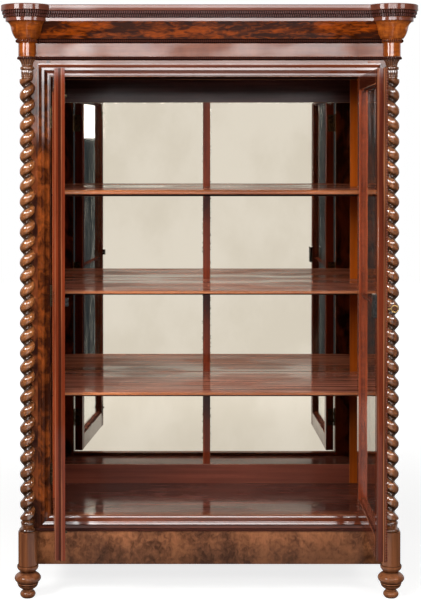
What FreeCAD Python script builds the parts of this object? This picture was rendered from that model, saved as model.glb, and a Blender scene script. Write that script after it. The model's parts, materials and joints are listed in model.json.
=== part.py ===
import FreeCAD, Part
import math
import os

from FreeCAD import Vector

# A tall two-door display case of polished mahogany, with both doors standing open.
# Millimetres. X runs to the right, Y from the front to the back, Z up.
# Z = 0 is the floor, X = 0 the middle, and Y = 0 the front face of the case.

# Case
case_half_width = 684.0
case_depth = 580.0
wall = 28.0
front_frame_depth = 36.0
post_width = 95.4
plinth_height = 125.0
plinth_proud = 3.0
cap_height = 9.0
cap_projection = 8.0
cap_shoulder = 5.0
sill_height = 59.0
opening_height = 1631.0
head_height = 61.0
top_board_thickness = 20.0
floor_drop = 13.0
floor_thickness = 22.0
side_stile_width = 70.0
side_rail_height = 100.0
side_middle_rail_rise = 823.0
panel_thickness = 10.0
panel_field_rise = 6.0
panel_margin = 8.0
panel_bevel = 24.0

# Turnings. A section is (height, lower radius, middle radius, upper radius), and sections stack upwards.
axis_inset = 8.0
axis_forward = 4.0
drum_radius = 35.0
front_foot_sections = (
    (22.0, 22.0, 29.3, 22.0),
    (7.0, 23.0, 23.0, 23.0),
    (21.0, 37.0, 39.0, 37.0),
    (4.0, 34.0, 34.0, 34.0),
    (38.0, 36.0, 48.8, 36.0),
    (12.0, 28.0, 28.0, 28.0),
    (18.0, 38.0, 40.5, 38.0),
)
rear_foot_sections = (
    (22.0, 22.0, 29.3, 22.0),
    (10.0, 24.0, 24.0, 24.0),
    (50.0, 26.0, 36.0, 38.0),
)
rear_foot_block_radius = 38.0
rear_foot_inset = 44.0
column_base_sections = (
    (12.0, 28.0, 31.5, 28.0),
    (15.0, 24.0, 24.0, 24.0),
    (10.0, 24.0, 25.8, 24.0),
    (9.0, 22.0, 22.0, 22.0),
)
column_head_sections = (
    (9.0, 21.0, 21.0, 21.0),
    (6.0, 21.0, 23.0, 21.0),
    (20.0, 21.0, 22.5, 21.0),
    (11.0, 24.0, 25.8, 24.0),
    (4.0, 20.0, 20.0, 20.0),
    (24.0, 20.0, 23.5, 31.0),
    (10.0, 34.0, 34.0, 34.0),
)
twist_radius = 20.9
twist_offset = 7.5
twist_turns = 28.5

# Cornice, from the top of the case upwards, in the same sections
lower_bead_sections = ((13.0, 32.3, 41.0, 32.3),)
frieze_sections = ((49.0, 32.3, 32.3, 32.3),)
upper_bead_sections = ((16.0, 34.0, 41.0, 36.0),)
ogee_sections = (
    (42.0, 42.0, 54.5, 60.0),
    (20.0, 60.0, 64.0, 73.0),
    (14.0, 73.0, 79.0, 75.0),
)
dentil_sections = ((26.0, 81.0, 85.5, 90.0),)
slab_height = 22.0
slab_radius = 96.0
slab_back_overhang = 4.0
frieze_thickness = 5.0
straight_share = 0.67
cornice_board = 24.0

# Mitred moulding round the opening: (distance from its inner edge, rise), an arc passing its second pair
surround_reveal = 4.0
surround_width = 45.4
surround_rise = 14.0
surround_profile = [
    (0.0, 0.0), (0.0, 3.0), (6.0, 4.0, 3.0, 6.5), (8.0, 3.5), (17.0, 8.0),
    (31.0, 9.0, 24.0, surround_rise), (43.0, 3.0, 35.5, 4.0), (surround_width, 3.0), (surround_width, 0.0),
]

# Back
back_thickness = 39.0
mirror_setback = 4.0
mirror_thickness = 4.0
back_board_thickness = 12.0
back_bottom_rail = 78.0
back_top_rail = 139.0
centre_stile_half_width = 14.5
mirror_clearance = 0.5

# Shelves: name, rise of the top above the floor of the case, thickness
shelves = (
    ("upper_shelf", 1222.0, 24.0),
    ("middle_shelf", 842.0, 14.0),
    ("lower_shelf", 460.0, 14.0),
)
shelf_front_y = 50.0
shelf_side_gap = 0.8
shelf_back_gap = 0.8
shelf_nose_share = 0.4
cleat_width = 16.0
cleat_height = 14.0
cleat_front_y = 60.0

# Doors, drawn closed and then swung open
door_thickness = 34.0
door_end_gap = 2.0
hinge_gap = 1.2
stile_width = 58.0
bottom_rail_height = 77.0
rebate_width = 8.0
glass_y = 15.0
glass_thickness = 3.0
glass_clearance = 0.5
bead_depth = 8.0
bar_rise = 828.0
bar_half_height = 8.0
bar_front_y = 3.0
tongue_half_height = 3.0
tongue_depth = 13.0
lip_width = 9.25
meeting_gap = 0.75
lip_gap = 0.4
left_open_degrees = 84.0
right_open_degrees = 89.0
stop_overlap = 9.0
stop_depth = 10.0
stop_gap = 0.4

# Hinges
hinge_length = 76.0
hinge_end_distance = 150.0
knuckle_radius = 4.0
knuckle_count = 5
knuckle_gap = 0.3
knuckle_clearance = 0.5
pin_radius = 1.5
pin_clearance = 0.05
pin_head_radius = 3.5
pin_head_height = 3.0
leaf_thickness = 2.0
leaf_half_gap = 0.3
leaf_depth = 26.0

# Bolts of the left door
bolt_radius = 4.0
bolt_clearance = 0.3
bolt_length = 120.0
bolt_from_edge = 25.0
bolt_y = 25.0
bolt_travel = 16.0
bolt_setback = 1.0
keeper_hole_clearance = 0.5
stud_from_end = 90.0
stud_radius = 2.0
knob_radius = 4.5
knob_length = 6.0
knob_air = 0.3
plate_width = 22.0
plate_length = 70.0
plate_thickness = 1.4

# Lock of the right door
lock_edge_x = 3.0
lock_width = 44.0
lock_height = 74.0
lock_drop = 26.0
lock_depth = 12.0
lock_wall = 1.5
key_x = 25.0
key_rise = 832.0
key_radius = 3.0
key_clearance = 0.4
key_bit_length = 10.5
key_bit_thickness = 3.0
key_end_air = 1.5
key_shank = 16.0
bow_radius = 11.0
bow_wire = 2.6
lock_bolt_rise = 23.0
lock_bolt_height = 11.2
lock_bolt_depth = 6.2
lock_bolt_length = 30.0
lock_bolt_clearance = 0.4
keeper_width = 23.0
keeper_height = 26.0
keeper_pocket = 14.0
escutcheon_half_width = 11.0
escutcheon_half_height = 18.0
escutcheon_thickness = 1.5

# How far a cutting shape runs past the piece it cuts
overrun = 1.0
far = 4000.0


def stack_height(sections):
    return sum(section[0] for section in sections)


# Places that follow from the sizes above
plinth_bottom = stack_height(front_foot_sections)
plinth_top = plinth_bottom + plinth_height
sill_top = plinth_top + sill_height
head_bottom = sill_top + opening_height
case_top = head_bottom + head_height
floor_top = sill_top - floor_drop
lower_bead_top = case_top + stack_height(lower_bead_sections)
frieze_top = lower_bead_top + stack_height(frieze_sections)
upper_bead_top = frieze_top + stack_height(upper_bead_sections)
ogee_top = upper_bead_top + stack_height(ogee_sections)
dentil_top = ogee_top + stack_height(dentil_sections)
axis_x = case_half_width - axis_inset
axis_y = -axis_forward
neck_radius = frieze_sections[0][1]
collar_radius = column_head_sections[-1][1]
base_ring_radius = column_base_sections[0][2]
inner_half_width = case_half_width - wall
opening_half_width = case_half_width - post_width
hinge_edge_x = opening_half_width - hinge_gap
pin_x = opening_half_width - hinge_gap / 2
pin_y = -(knuckle_radius + knuckle_clearance)
door_bottom = sill_top + door_end_gap
door_top = head_bottom - door_end_gap
rebate = stile_width - rebate_width
bar_z = door_bottom + bar_rise
key_z = door_bottom + key_rise
back_front_y = case_depth - back_thickness
hinge_heights = (
    door_bottom + hinge_end_distance,
    (door_bottom + door_top) / 2,
    door_top - hinge_end_distance,
)


def box(x0, x1, y0, y1, z0, z1):
    return Part.makeBox(x1 - x0, y1 - y0, z1 - z0, Vector(x0, y0, z0))


def cylinder(radius, x, y, z0, z1):
    return Part.makeCylinder(radius, z1 - z0, Vector(x, y, z0))


def mirrored(shape):
    return shape.mirror(Vector(0, 0, 0), Vector(1, 0, 0))


def fused(shapes):
    return shapes[0].multiFuse(shapes[1:]).removeSplitter()


def outline(points):
    """A closed wire. A point with a third and fourth number is reached by an arc through (third, fourth)."""
    edges = []
    for start, end in zip(points, points[1:] + points[:1]):
        a = Vector(start[0], start[1], 0)
        b = Vector(end[0], end[1], 0)
        if len(end) == 4:
            edges.append(Part.Arc(a, Vector(end[2], end[3], 0), b).toShape())
        elif a.distanceToPoint(b) > 1e-6:
            edges.append(Part.makeLine(a, b))
    return Part.Wire(edges)


def section_points(sections, bottom):
    """The outline of stacked sections, closed back to the axis."""
    points = [(0, bottom)]
    z = bottom
    for height, lower, middle, upper in sections:
        points.append((lower, z))
        z += height
        if math.isclose(middle, (lower + upper) / 2):
            points.append((upper, z))
        else:
            points.append((upper, z, middle, z - height / 2))
    return points + [(0, z)]


def placed(points, rule):
    """The same outline with every point, and the middle point of every arc, moved by one rule."""
    moved = []
    for point in points:
        pairs = [rule(*point[:2])]
        if len(point) == 4:
            pairs.append(rule(*point[2:]))
        moved.append(tuple(value for pair in pairs for value in pair))
    return moved


def turned(sections, bottom, x, y):
    """A turning: stacked sections revolved about the upright line at (x, y)."""
    face = Part.Face(outline(section_points(sections, bottom)))
    face.rotate(Vector(0, 0, 0), Vector(1, 0, 0), 90)
    solid = face.revolve(Vector(0, 0, 0), Vector(0, 0, 1), 360)
    solid.translate(Vector(x, y, 0))
    return solid


def along_x(points, x0, x1):
    """A moulding across the front: (projection, height) points, carried from x0 to x1."""
    face = Part.Face(outline(points))
    face.rotate(Vector(0, 0, 0), Vector(1, 0, 0), 90)
    face.rotate(Vector(0, 0, 0), Vector(0, 0, 1), -90)
    face.translate(Vector(x0, 0, 0))
    return face.extrude(Vector(x1 - x0, 0, 0))


def along_y(points, x, y0, y1):
    """The same moulding on the right-hand side, standing out from x, carried from y0 to y1."""
    face = Part.Face(outline(points))
    face.rotate(Vector(0, 0, 0), Vector(1, 0, 0), 90)
    face.translate(Vector(x, y0, 0))
    return face.extrude(Vector(0, y1 - y0, 0))


def upright(points, z0, z1):
    """A post or stile: (x, y) points, carried from z0 to z1."""
    face = Part.Face(outline(points))
    face.translate(Vector(0, 0, z0))
    return face.extrude(Vector(0, 0, z1 - z0))


def save(name, *solids):
    Part.makeCompound(list(solids)).exportStep(f"parts/{name}.step")


def save_pair(name, left):
    save(f"left_{name}", left)
    save(f"right_{name}", mirrored(left))


# The three-quarter turnings at the front corners fit round this corner of the case.
case_corner = box(-case_half_width, case_half_width, 0, far, 0, far)


def round_corner(sections, bottom):
    return turned(sections, bottom, -axis_x, axis_y).cut(case_corner)


# Plinth, feet and drums
plinth_face_x = axis_x - drum_radius
plinth_front = fused([
    box(-case_half_width, case_half_width, 0, wall, plinth_bottom, plinth_top),
    box(-plinth_face_x, plinth_face_x, -plinth_proud, 0, plinth_bottom, plinth_top),
])
drum_section = (plinth_height, drum_radius, drum_radius, drum_radius)
drum = round_corner([drum_section], plinth_bottom)
save("plinth_front", plinth_front.cut(drum).cut(mirrored(drum)))
save_pair("base_drum", drum)
plinth_side = box(-case_half_width, -inner_half_width, wall, case_depth - wall, plinth_bottom, plinth_top)
plinth_back = box(-case_half_width, case_half_width, case_depth - wall, case_depth, plinth_bottom, plinth_top)
save("plinth_sides", plinth_side, mirrored(plinth_side), plinth_back)

save_pair("front_foot", turned(front_foot_sections, 0, -axis_x, axis_y))
rear_block_height = plinth_bottom - stack_height(rear_foot_sections)
rear_block = (rear_block_height, rear_foot_block_radius, rear_foot_block_radius, rear_foot_block_radius)
rear_foot = turned(
    [*rear_foot_sections, rear_block], 0,
    -(case_half_width - rear_foot_inset), case_depth - rear_foot_inset,
)
save("rear_feet", rear_foot, mirrored(rear_foot))

cap_top = plinth_top + cap_height
cap_round = cap_projection - cap_shoulder
cap_bulge = cap_round * (1 - math.sqrt(0.5))
cap_profile = [
    (0, plinth_top), (cap_projection, plinth_top), (cap_projection, cap_top - cap_round),
    (cap_shoulder, cap_top, cap_projection - cap_bulge, cap_top - cap_bulge),
    (0, cap_top),
]
cap_cutter = cylinder(base_ring_radius, axis_x, axis_y, plinth_top, cap_top)
cap_front = along_x(cap_profile, -axis_x, axis_x).cut(cap_cutter).cut(mirrored(cap_cutter))
cap_side = along_y(cap_profile, case_half_width, axis_y, case_depth).cut(cap_cutter)
save("plinth_cap", cap_front, cap_side, mirrored(cap_side))

# Columns
twist_bottom = plinth_top + stack_height(column_base_sections)
twist_top = lower_bead_top - stack_height(column_head_sections)
twist_lead = (twist_top - twist_bottom) / twist_turns


def one_turn():
    """One turn of the twist: a level circle carried round a helix, fitted to the corner of the case."""
    helix = Part.makeHelix(twist_lead, twist_lead, twist_offset)
    sweep = Part.BRepOffsetAPI.MakePipeShell(Part.Wire(helix.Edges))
    sweep.setTrihedronMode(Vector(0, 0, 0), Vector(0, 0, 1))
    sweep.add(Part.Wire(Part.makeCircle(twist_radius, Vector(twist_offset, 0, 0))), False, False)
    sweep.build()
    sweep.makeSolid()
    turn = sweep.shape()
    turn.translate(Vector(-axis_x, axis_y, 0))
    return turn.cut(case_corner)


def twist():
    turn = one_turn()
    turns = []
    for index in range(math.ceil(twist_turns)):
        turns.append(turn.translated(Vector(0, 0, twist_bottom + index * twist_lead)))
    above = box(-far, far, -far, far, twist_top, twist_top + far)
    turns[-1] = turns[-1].cut(above)
    return turns


column_base = round_corner(column_base_sections, plinth_top)
column_head = round_corner(column_head_sections, twist_top)
save_pair("column", column_base.multiFuse([*twist(), column_head]))

# Cornice: the same moulding runs round the corner capitals and straight across the front and sides.
capital_sections = frieze_sections + upper_bead_sections + ogee_sections + dentil_sections
capital = turned(capital_sections, lower_bead_top, -axis_x, axis_y)
collar = cylinder(collar_radius, -axis_x, axis_y, case_top, lower_bead_top)
save_pair("capital", capital.cut(case_corner))


def out(radius):
    """How far the straight cornice stands out where the capital has this radius."""
    return frieze_thickness + straight_share * (radius - neck_radius)


def straight_runs(sections, bottom):
    """The front run and the two side runs of one moulding, cut to meet the corner turnings."""
    straight = [(section[0], *(out(radius) for radius in section[1:])) for section in sections]
    points = section_points(straight, bottom)
    front = along_x(points, -axis_x, axis_x)
    side = along_y(points, case_half_width, axis_y, case_depth)
    for cutter in (capital, collar, mirrored(capital), mirrored(collar)):
        front = front.cut(cutter)
        side = side.cut(cutter)
    return front, side, mirrored(side)


save("frieze", *straight_runs(frieze_sections, lower_bead_top))
save("cornice_moulding", *straight_runs(ogee_sections, upper_bead_top))
save(
    "dentil_and_bead_strips",
    *straight_runs(lower_bead_sections, case_top),
    *straight_runs(upper_bead_sections, frieze_top),
    *straight_runs(dentil_sections, ogee_top),
)

cornice_bottom = case_top + top_board_thickness
save("top_board", box(-case_half_width, case_half_width, 0, case_depth, case_top, cornice_bottom))
cornice_inner_x = case_half_width - cornice_board
cornice_side = box(
    cornice_inner_x, case_half_width, cornice_board, case_depth - cornice_board, cornice_bottom, dentil_top,
)
save(
    "cornice_frame",
    box(-case_half_width, case_half_width, 0, cornice_board, cornice_bottom, dentil_top),
    box(
        -case_half_width, case_half_width, case_depth - cornice_board, case_depth, cornice_bottom, dentil_top,
    ),
    cornice_side,
    mirrored(cornice_side),
)
slab_out = out(slab_radius)
slab_x = case_half_width + slab_out
slab_top = dentil_top + slab_height
slab = box(-slab_x, slab_x, -slab_out, case_depth + slab_back_overhang, dentil_top, slab_top)
slab_corner = cylinder(slab_radius, -axis_x, axis_y, dentil_top, slab_top).cut(slab)
save("cornice_top", slab, slab_corner, mirrored(slab_corner))


# Hinges: the case leaf and the door leaf share one pin, and their knuckles take turns along it.
def knuckle_span(hinge_z, index):
    pitch = hinge_length / knuckle_count
    bottom = hinge_z - hinge_length / 2 + index * pitch
    return bottom + knuckle_gap / 2, bottom + pitch - knuckle_gap / 2


def hinge_leaf(hinge_z, on_case):
    """One leaf on the left-hand side. The case leaf has the first, third and fifth knuckle."""
    inner = -pin_x - leaf_half_gap if on_case else -pin_x + leaf_half_gap
    outer = inner - leaf_thickness if on_case else inner + leaf_thickness
    x0 = min(inner, outer)
    x1 = max(inner, outer)
    plate_y = pin_y + knuckle_radius + knuckle_clearance
    bottom = hinge_z - hinge_length / 2
    pieces = [box(x0, x1, plate_y, leaf_depth, bottom, bottom + hinge_length)]
    for index in range(0 if on_case else 1, knuckle_count, 2):
        z0, z1 = knuckle_span(hinge_z, index)
        pieces.append(cylinder(knuckle_radius, -pin_x, pin_y, z0, z1))
        pieces.append(box(x0, x1, pin_y, plate_y, z0, z1))
    top = bottom + hinge_length
    bore = cylinder(pin_radius + pin_clearance, -pin_x, pin_y, bottom - overrun, top + overrun)
    return fused(pieces).cut(bore)


def hinge_pin(hinge_z):
    bottom, _ = knuckle_span(hinge_z, 0)
    _, top = knuckle_span(hinge_z, knuckle_count - 1)
    return fused([
        cylinder(pin_radius, -pin_x, pin_y, bottom, top),
        cylinder(pin_head_radius, -pin_x, pin_y, top, top + pin_head_height),
    ])


def leaf_pocket(hinge_z, on_case):
    """The shallow recess that a leaf lies in."""
    bottom = hinge_z - hinge_length / 2
    deep = -pin_x - leaf_half_gap - leaf_thickness if on_case else -pin_x + leaf_half_gap + leaf_thickness
    x0, x1 = sorted((deep, -pin_x))
    return box(x0, x1, -overrun, leaf_depth, bottom, bottom + hinge_length)


case_leaves = [hinge_leaf(z, True) for z in hinge_heights]
door_leaves = [hinge_leaf(z, False) for z in hinge_heights]
pins = [hinge_pin(z) for z in hinge_heights]
save("case_hinge_leaves", *case_leaves, *[mirrored(leaf) for leaf in case_leaves])
save("hinge_pins", *pins, *[mirrored(pin) for pin in pins])

# Front frame of the case
post = box(-case_half_width, -opening_half_width, 0, front_frame_depth, plinth_top, case_top)
for height in hinge_heights:
    post = post.cut(leaf_pocket(height, True))
save_pair("corner_post", post)

bolt_x = -bolt_from_edge
keeper_hole = bolt_radius + keeper_hole_clearance
keeper_depth = bolt_travel + door_end_gap
head_rail = box(-opening_half_width, opening_half_width, 0, front_frame_depth, head_bottom, case_top)
save("head_rail", head_rail.cut(
    cylinder(keeper_hole, bolt_x, bolt_y, head_bottom - overrun, head_bottom + keeper_depth),
))
sill_rail = box(-opening_half_width, opening_half_width, 0, front_frame_depth, plinth_top, sill_top)
save("sill_rail", sill_rail.cut(
    cylinder(keeper_hole, bolt_x, bolt_y, sill_top - keeper_depth, sill_top + overrun),
))
stop_section = [
    (door_thickness + stop_gap, head_bottom - stop_overlap),
    (front_frame_depth + stop_depth, head_bottom - stop_overlap),
    (front_frame_depth + stop_depth, case_top),
    (front_frame_depth, case_top),
    (front_frame_depth, head_bottom),
    (door_thickness + stop_gap, head_bottom),
]
save("door_stop", along_x(
    [(-y, z) for y, z in stop_section], -opening_half_width, opening_half_width,
))

# Mitred moulding round the opening
surround_inner_x = opening_half_width + surround_reveal
surround_bottom_z = sill_top - surround_reveal
surround_top_z = head_bottom + surround_reveal


def mitred(run, corners):
    """Cut a moulding to the four-cornered shape that its mitres leave, seen from the front."""
    wire = Part.makePolygon([Vector(x, 0, z) for x, z in corners + corners[:1]])
    prism = Part.Face(wire).extrude(Vector(0, -2 * surround_rise, 0))
    return run.common(prism)


def corner_points(spread):
    x = surround_inner_x + spread
    return (-x, surround_bottom_z - spread), (x, surround_bottom_z - spread), \
        (x, surround_top_z + spread), (-x, surround_top_z + spread)


inner = corner_points(0)
outer = corner_points(surround_width)
reach = surround_inner_x + surround_width
top_run = along_x(
    placed(surround_profile, lambda width, rise: (rise, surround_top_z + width)), -reach, reach,
)
bottom_run = along_x(
    placed(surround_profile, lambda width, rise: (rise, surround_bottom_z - width)), -reach, reach,
)
right_run = upright(
    placed(surround_profile, lambda width, rise: (surround_inner_x + width, -rise)),
    outer[0][1], outer[2][1],
)
save("surround_top", mitred(top_run, [inner[3], inner[2], outer[2], outer[3]]))
save("surround_bottom", mitred(bottom_run, [inner[0], inner[1], outer[1], outer[0]]))
right_surround = mitred(right_run, [inner[1], inner[2], outer[2], outer[1]])
save("surround_right", right_surround)
save("surround_left", mirrored(right_surround))


# Sides: a frame of stiles and rails round two raised panels
def raised_panel(y0, y1, z0, z1):
    """A panel flush inside the case, with a bevelled field on the outside."""
    base_x = -inner_half_width - panel_thickness
    base = box(base_x, -inner_half_width, y0, y1, z0, z1)
    sections = []
    for x, inset in ((base_x, panel_margin), (base_x - panel_field_rise, panel_margin + panel_bevel)):
        sections.append(Part.makePolygon([
            Vector(x, y0 + inset, z0 + inset), Vector(x, y1 - inset, z0 + inset),
            Vector(x, y1 - inset, z1 - inset), Vector(x, y0 + inset, z1 - inset),
            Vector(x, y0 + inset, z0 + inset),
        ]))
    return fused([base, Part.makeLoft(sections, True, True)])


def side():
    x0 = -case_half_width
    x1 = -inner_half_width
    front_y = front_frame_depth
    panel_y0 = front_y + side_stile_width
    panel_y1 = case_depth - side_stile_width
    half_rail = side_rail_height / 2
    middle_z = plinth_top + side_middle_rail_rise + half_rail
    rails = (
        (plinth_top, plinth_top + side_rail_height),
        (middle_z - half_rail, middle_z + half_rail),
        (case_top - side_rail_height, case_top),
    )
    pieces = [
        box(x0, x1, front_y, panel_y0, plinth_top, case_top),
        box(x0, x1, panel_y1, case_depth, plinth_top, case_top),
    ]
    for z0, z1 in rails:
        pieces.append(box(x0, x1, panel_y0, panel_y1, z0, z1))
    for lower, upper in zip(rails, rails[1:]):
        pieces.append(raised_panel(panel_y0, panel_y1, lower[1], upper[0]))
    return pieces


left_side = side()
save("left_side", *left_side)
save("right_side", *[mirrored(piece) for piece in left_side])
floor_bottom = floor_top - floor_thickness
save("bottom_board", box(
    -inner_half_width, inner_half_width, front_frame_depth, case_depth, floor_bottom, floor_top,
))

# Back: a frame that holds two mirrors, with boards behind them
mirror_front_y = back_front_y + mirror_setback
mirror_back_y = mirror_front_y + mirror_thickness
mirror_bottom = floor_top + back_bottom_rail
mirror_top = case_top - back_top_rail
back_stile = box(-inner_half_width, -opening_half_width, back_front_y, case_depth, floor_top, case_top)
save(
    "back_frame",
    back_stile,
    mirrored(back_stile),
    box(
        -centre_stile_half_width, centre_stile_half_width, back_front_y, case_depth,
        mirror_bottom, mirror_top,
    ),
    box(-opening_half_width, opening_half_width, back_front_y, case_depth, floor_top, mirror_bottom),
    box(-opening_half_width, opening_half_width, back_front_y, case_depth, mirror_top, case_top),
)


def back_sheet(y0, y1, clearance):
    return box(
        -opening_half_width + clearance, -centre_stile_half_width - clearance, y0, y1,
        mirror_bottom + clearance, mirror_top - clearance,
    )


save_pair("mirror", back_sheet(mirror_front_y, mirror_back_y, mirror_clearance))
back_board = back_sheet(mirror_back_y, mirror_back_y + back_board_thickness, 0)
save("back_boards", back_board, mirrored(back_board))

# Shelves, loose on cleats
cleats = []
for name, rise, thickness in shelves:
    top = floor_top + rise
    half = inner_half_width - shelf_side_gap
    board = box(-half, half, shelf_front_y, back_front_y - shelf_back_gap, top - thickness, top)
    nose = [
        edge for edge in board.Edges
        if edge.BoundBox.YMax < shelf_front_y + shelf_back_gap and edge.BoundBox.XLength > half
    ]
    save(name, board.makeFillet(shelf_nose_share * thickness, nose))
    cleat = box(
        -inner_half_width, -inner_half_width + cleat_width, cleat_front_y, back_front_y - shelf_back_gap,
        top - thickness - cleat_height, top - thickness,
    )
    cleats += [cleat, mirrored(cleat)]
save("shelf_cleats", *cleats)


# Doors
def swung_left(shape):
    shape.rotate(Vector(-pin_x, pin_y, 0), Vector(0, 0, 1), -left_open_degrees)
    return shape


def swung_right(shape):
    shape.rotate(Vector(pin_x, pin_y, 0), Vector(0, 0, 1), right_open_degrees)
    return shape


sight_x0 = -hinge_edge_x + stile_width
rebate_x0 = -hinge_edge_x + rebate
sight_x1 = -stile_width
rebate_x1 = -rebate


def rail(z_outer, z_sight, z_rebate):
    """A rail with a rebate for the glass. Its ends fit the rebated stiles."""
    return fused([
        box(sight_x0, sight_x1, 0, glass_y, min(z_outer, z_sight), max(z_outer, z_sight)),
        box(rebate_x0, rebate_x1, glass_y, door_thickness, min(z_outer, z_rebate), max(z_outer, z_rebate)),
    ])


lower_sight = door_bottom + bottom_rail_height
lower_rebate = lower_sight - rebate_width
upper_rebate = door_top - rebate


def hinge_stile():
    stile = upright(
        [
            (-hinge_edge_x, 0), (sight_x0, 0), (sight_x0, glass_y), (rebate_x0, glass_y),
            (rebate_x0, door_thickness), (-hinge_edge_x, door_thickness),
        ],
        door_bottom, door_top,
    )
    for hinge_z in hinge_heights:
        stile = stile.cut(leaf_pocket(hinge_z, False))
    return stile


def glazing_bars():
    """The bar across the middle, and the beads that hold the panes."""
    bead_y = glass_y + glass_thickness
    bar = fused([
        box(sight_x0, sight_x1, bar_front_y, glass_y, bar_z - bar_half_height, bar_z + bar_half_height),
        box(
            rebate_x0, rebate_x1, glass_y, glass_y + tongue_depth,
            bar_z - tongue_half_height, bar_z + tongue_half_height,
        ),
    ])
    pieces = [bar]
    for z0, z1, flat_z in (
        (bar_z + tongue_half_height, upper_rebate, upper_rebate - rebate_width),
        (lower_rebate, bar_z - tongue_half_height, lower_rebate),
    ):
        for x0 in (rebate_x0, sight_x1):
            pieces.append(box(x0, x0 + rebate_width, bead_y, bead_y + bead_depth, z0, z1))
        pieces.append(box(
            sight_x0, sight_x1, bead_y, bead_y + bead_depth, flat_z, flat_z + rebate_width,
        ))
    return pieces


def panes():
    sheets = []
    for z0, z1 in (
        (bar_z + tongue_half_height, upper_rebate),
        (lower_rebate, bar_z - tongue_half_height),
    ):
        sheets.append(box(
            rebate_x0 + glass_clearance, rebate_x1 - glass_clearance, glass_y, glass_y + glass_thickness,
            z0 + glass_clearance / 2, z1 - glass_clearance,
        ))
    return sheets


def left_meeting_stile():
    """The stile that closes first. Its front layer stops short, to leave room for the other door's lip."""
    split_y = glass_y + lip_gap
    front = box(sight_x1, -meeting_gap - lip_width, 0, split_y, door_bottom, door_top)
    front = front.cut(box(sight_x1, rebate_x1, glass_y, split_y, door_bottom, door_top))
    back = box(rebate_x1, -meeting_gap, split_y, door_thickness, door_bottom, door_top)
    bore = bolt_radius + bolt_clearance
    for end_z, inward in ((door_top, -1), (door_bottom, 1)):
        deep_end = end_z + inward * (bolt_setback + bolt_length + bolt_clearance)
        z0, z1 = sorted((end_z - inward * overrun, deep_end))
        back = back.cut(cylinder(bore, bolt_x, bolt_y, z0, z1))
        back = back.cut(stud_slot(end_z, inward, bolt_y, door_thickness + overrun))
    return front, back


def right_meeting_stile():
    """The stile that closes last, with a lip glued to its edge that laps over the other door."""
    stile = upright(
        [
            (meeting_gap, 0), (stile_width, 0), (stile_width, glass_y), (rebate, glass_y),
            (rebate, door_thickness), (meeting_gap, door_thickness),
        ],
        door_bottom, door_top,
    )
    lip = box(-lip_width, meeting_gap, 0, glass_y - lip_gap, door_bottom, door_top)
    return stile.cut(keyhole(-overrun, door_thickness + overrun)), lip


def stud_slot(end_z, inward, y0, y1):
    """The slot in which the thumb stud of a bolt travels."""
    half = stud_radius + bolt_clearance
    stud_z = end_z + inward * stud_from_end
    z0, z1 = sorted((stud_z + inward * half, stud_z - inward * (bolt_travel + half)))
    return box(bolt_x - half, bolt_x + half, y0, y1, z0, z1)


def door_bolt(end_z, inward):
    """A round bolt inside the stile, with a stud and a knob on the inner face."""
    tip = end_z + inward * bolt_setback
    z0, z1 = sorted((tip, tip + inward * bolt_length))
    stud_z = end_z + inward * stud_from_end
    knob_y = door_thickness + plate_thickness + knob_air
    to_back = Vector(0, 1, 0)
    stud = Part.makeCylinder(stud_radius, knob_y - bolt_y, Vector(bolt_x, bolt_y, stud_z), to_back)
    knob = Part.makeCylinder(knob_radius, knob_length, Vector(bolt_x, knob_y, stud_z), to_back)
    return fused([cylinder(bolt_radius, bolt_x, bolt_y, z0, z1), stud, knob])


def bolt_plate(end_z, inward):
    middle = end_z + inward * (stud_from_end - bolt_travel / 2)
    plate = box(
        bolt_x - plate_width / 2, bolt_x + plate_width / 2,
        door_thickness, door_thickness + plate_thickness,
        middle - plate_length / 2, middle + plate_length / 2,
    )
    return plate.cut(stud_slot(end_z, inward, bolt_y, door_thickness + plate_thickness + overrun))


door_rails = [
    rail(door_top, door_top - stile_width, upper_rebate),
    rail(door_bottom, lower_sight, lower_rebate),
]
common_pieces = {
    "door_hinge_stile": [hinge_stile()],
    "door_rails": door_rails,
    "door_glazing_bars": glazing_bars(),
    "door_panes": panes(),
    "door_hinge_leaves": door_leaves,
}
for name, pieces in common_pieces.items():
    save(f"left_{name}", *[swung_left(piece.copy()) for piece in pieces])
    save(f"right_{name}", *[swung_right(mirrored(piece)) for piece in pieces])

save("left_door_meeting_stile", *[swung_left(layer) for layer in left_meeting_stile()])
save("top_bolt", swung_left(door_bolt(door_top, -1)))
save("bottom_bolt", swung_left(door_bolt(door_bottom, 1)))
save("bolt_plates", swung_left(bolt_plate(door_top, -1)), swung_left(bolt_plate(door_bottom, 1)))

# Lock: a case on the inner face of the right door, its bolt and key, and the keeper on the left door
lock_y = door_thickness
lock_bottom = key_z - lock_drop
lock_bolt_z = key_z + lock_bolt_rise
lock_top = lock_bottom + lock_height
bolt_middle_y = lock_y + lock_depth / 2 - lock_wall / 2


def keyhole(y0, y1):
    """A round hole with a slot below it, so that the key can be drawn out."""
    radius = key_radius + key_clearance
    half = key_bit_thickness / 2 + key_clearance
    barrel = Part.makeCylinder(radius, y1 - y0, Vector(key_x, y0, key_z), Vector(0, 1, 0))
    slot = box(key_x - half, key_x + half, y0, y1, key_z - key_bit_length - key_clearance, key_z)
    return fused([barrel, slot])


def bolt_way(x0, x1, clearance):
    half_depth = lock_bolt_depth / 2 + clearance
    half_height = lock_bolt_height / 2 + clearance
    return box(
        x0, x1, bolt_middle_y - half_depth, bolt_middle_y + half_depth,
        lock_bolt_z - half_height, lock_bolt_z + half_height,
    )


save("right_door_meeting_stile", *[swung_right(layer) for layer in right_meeting_stile()])

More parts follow.
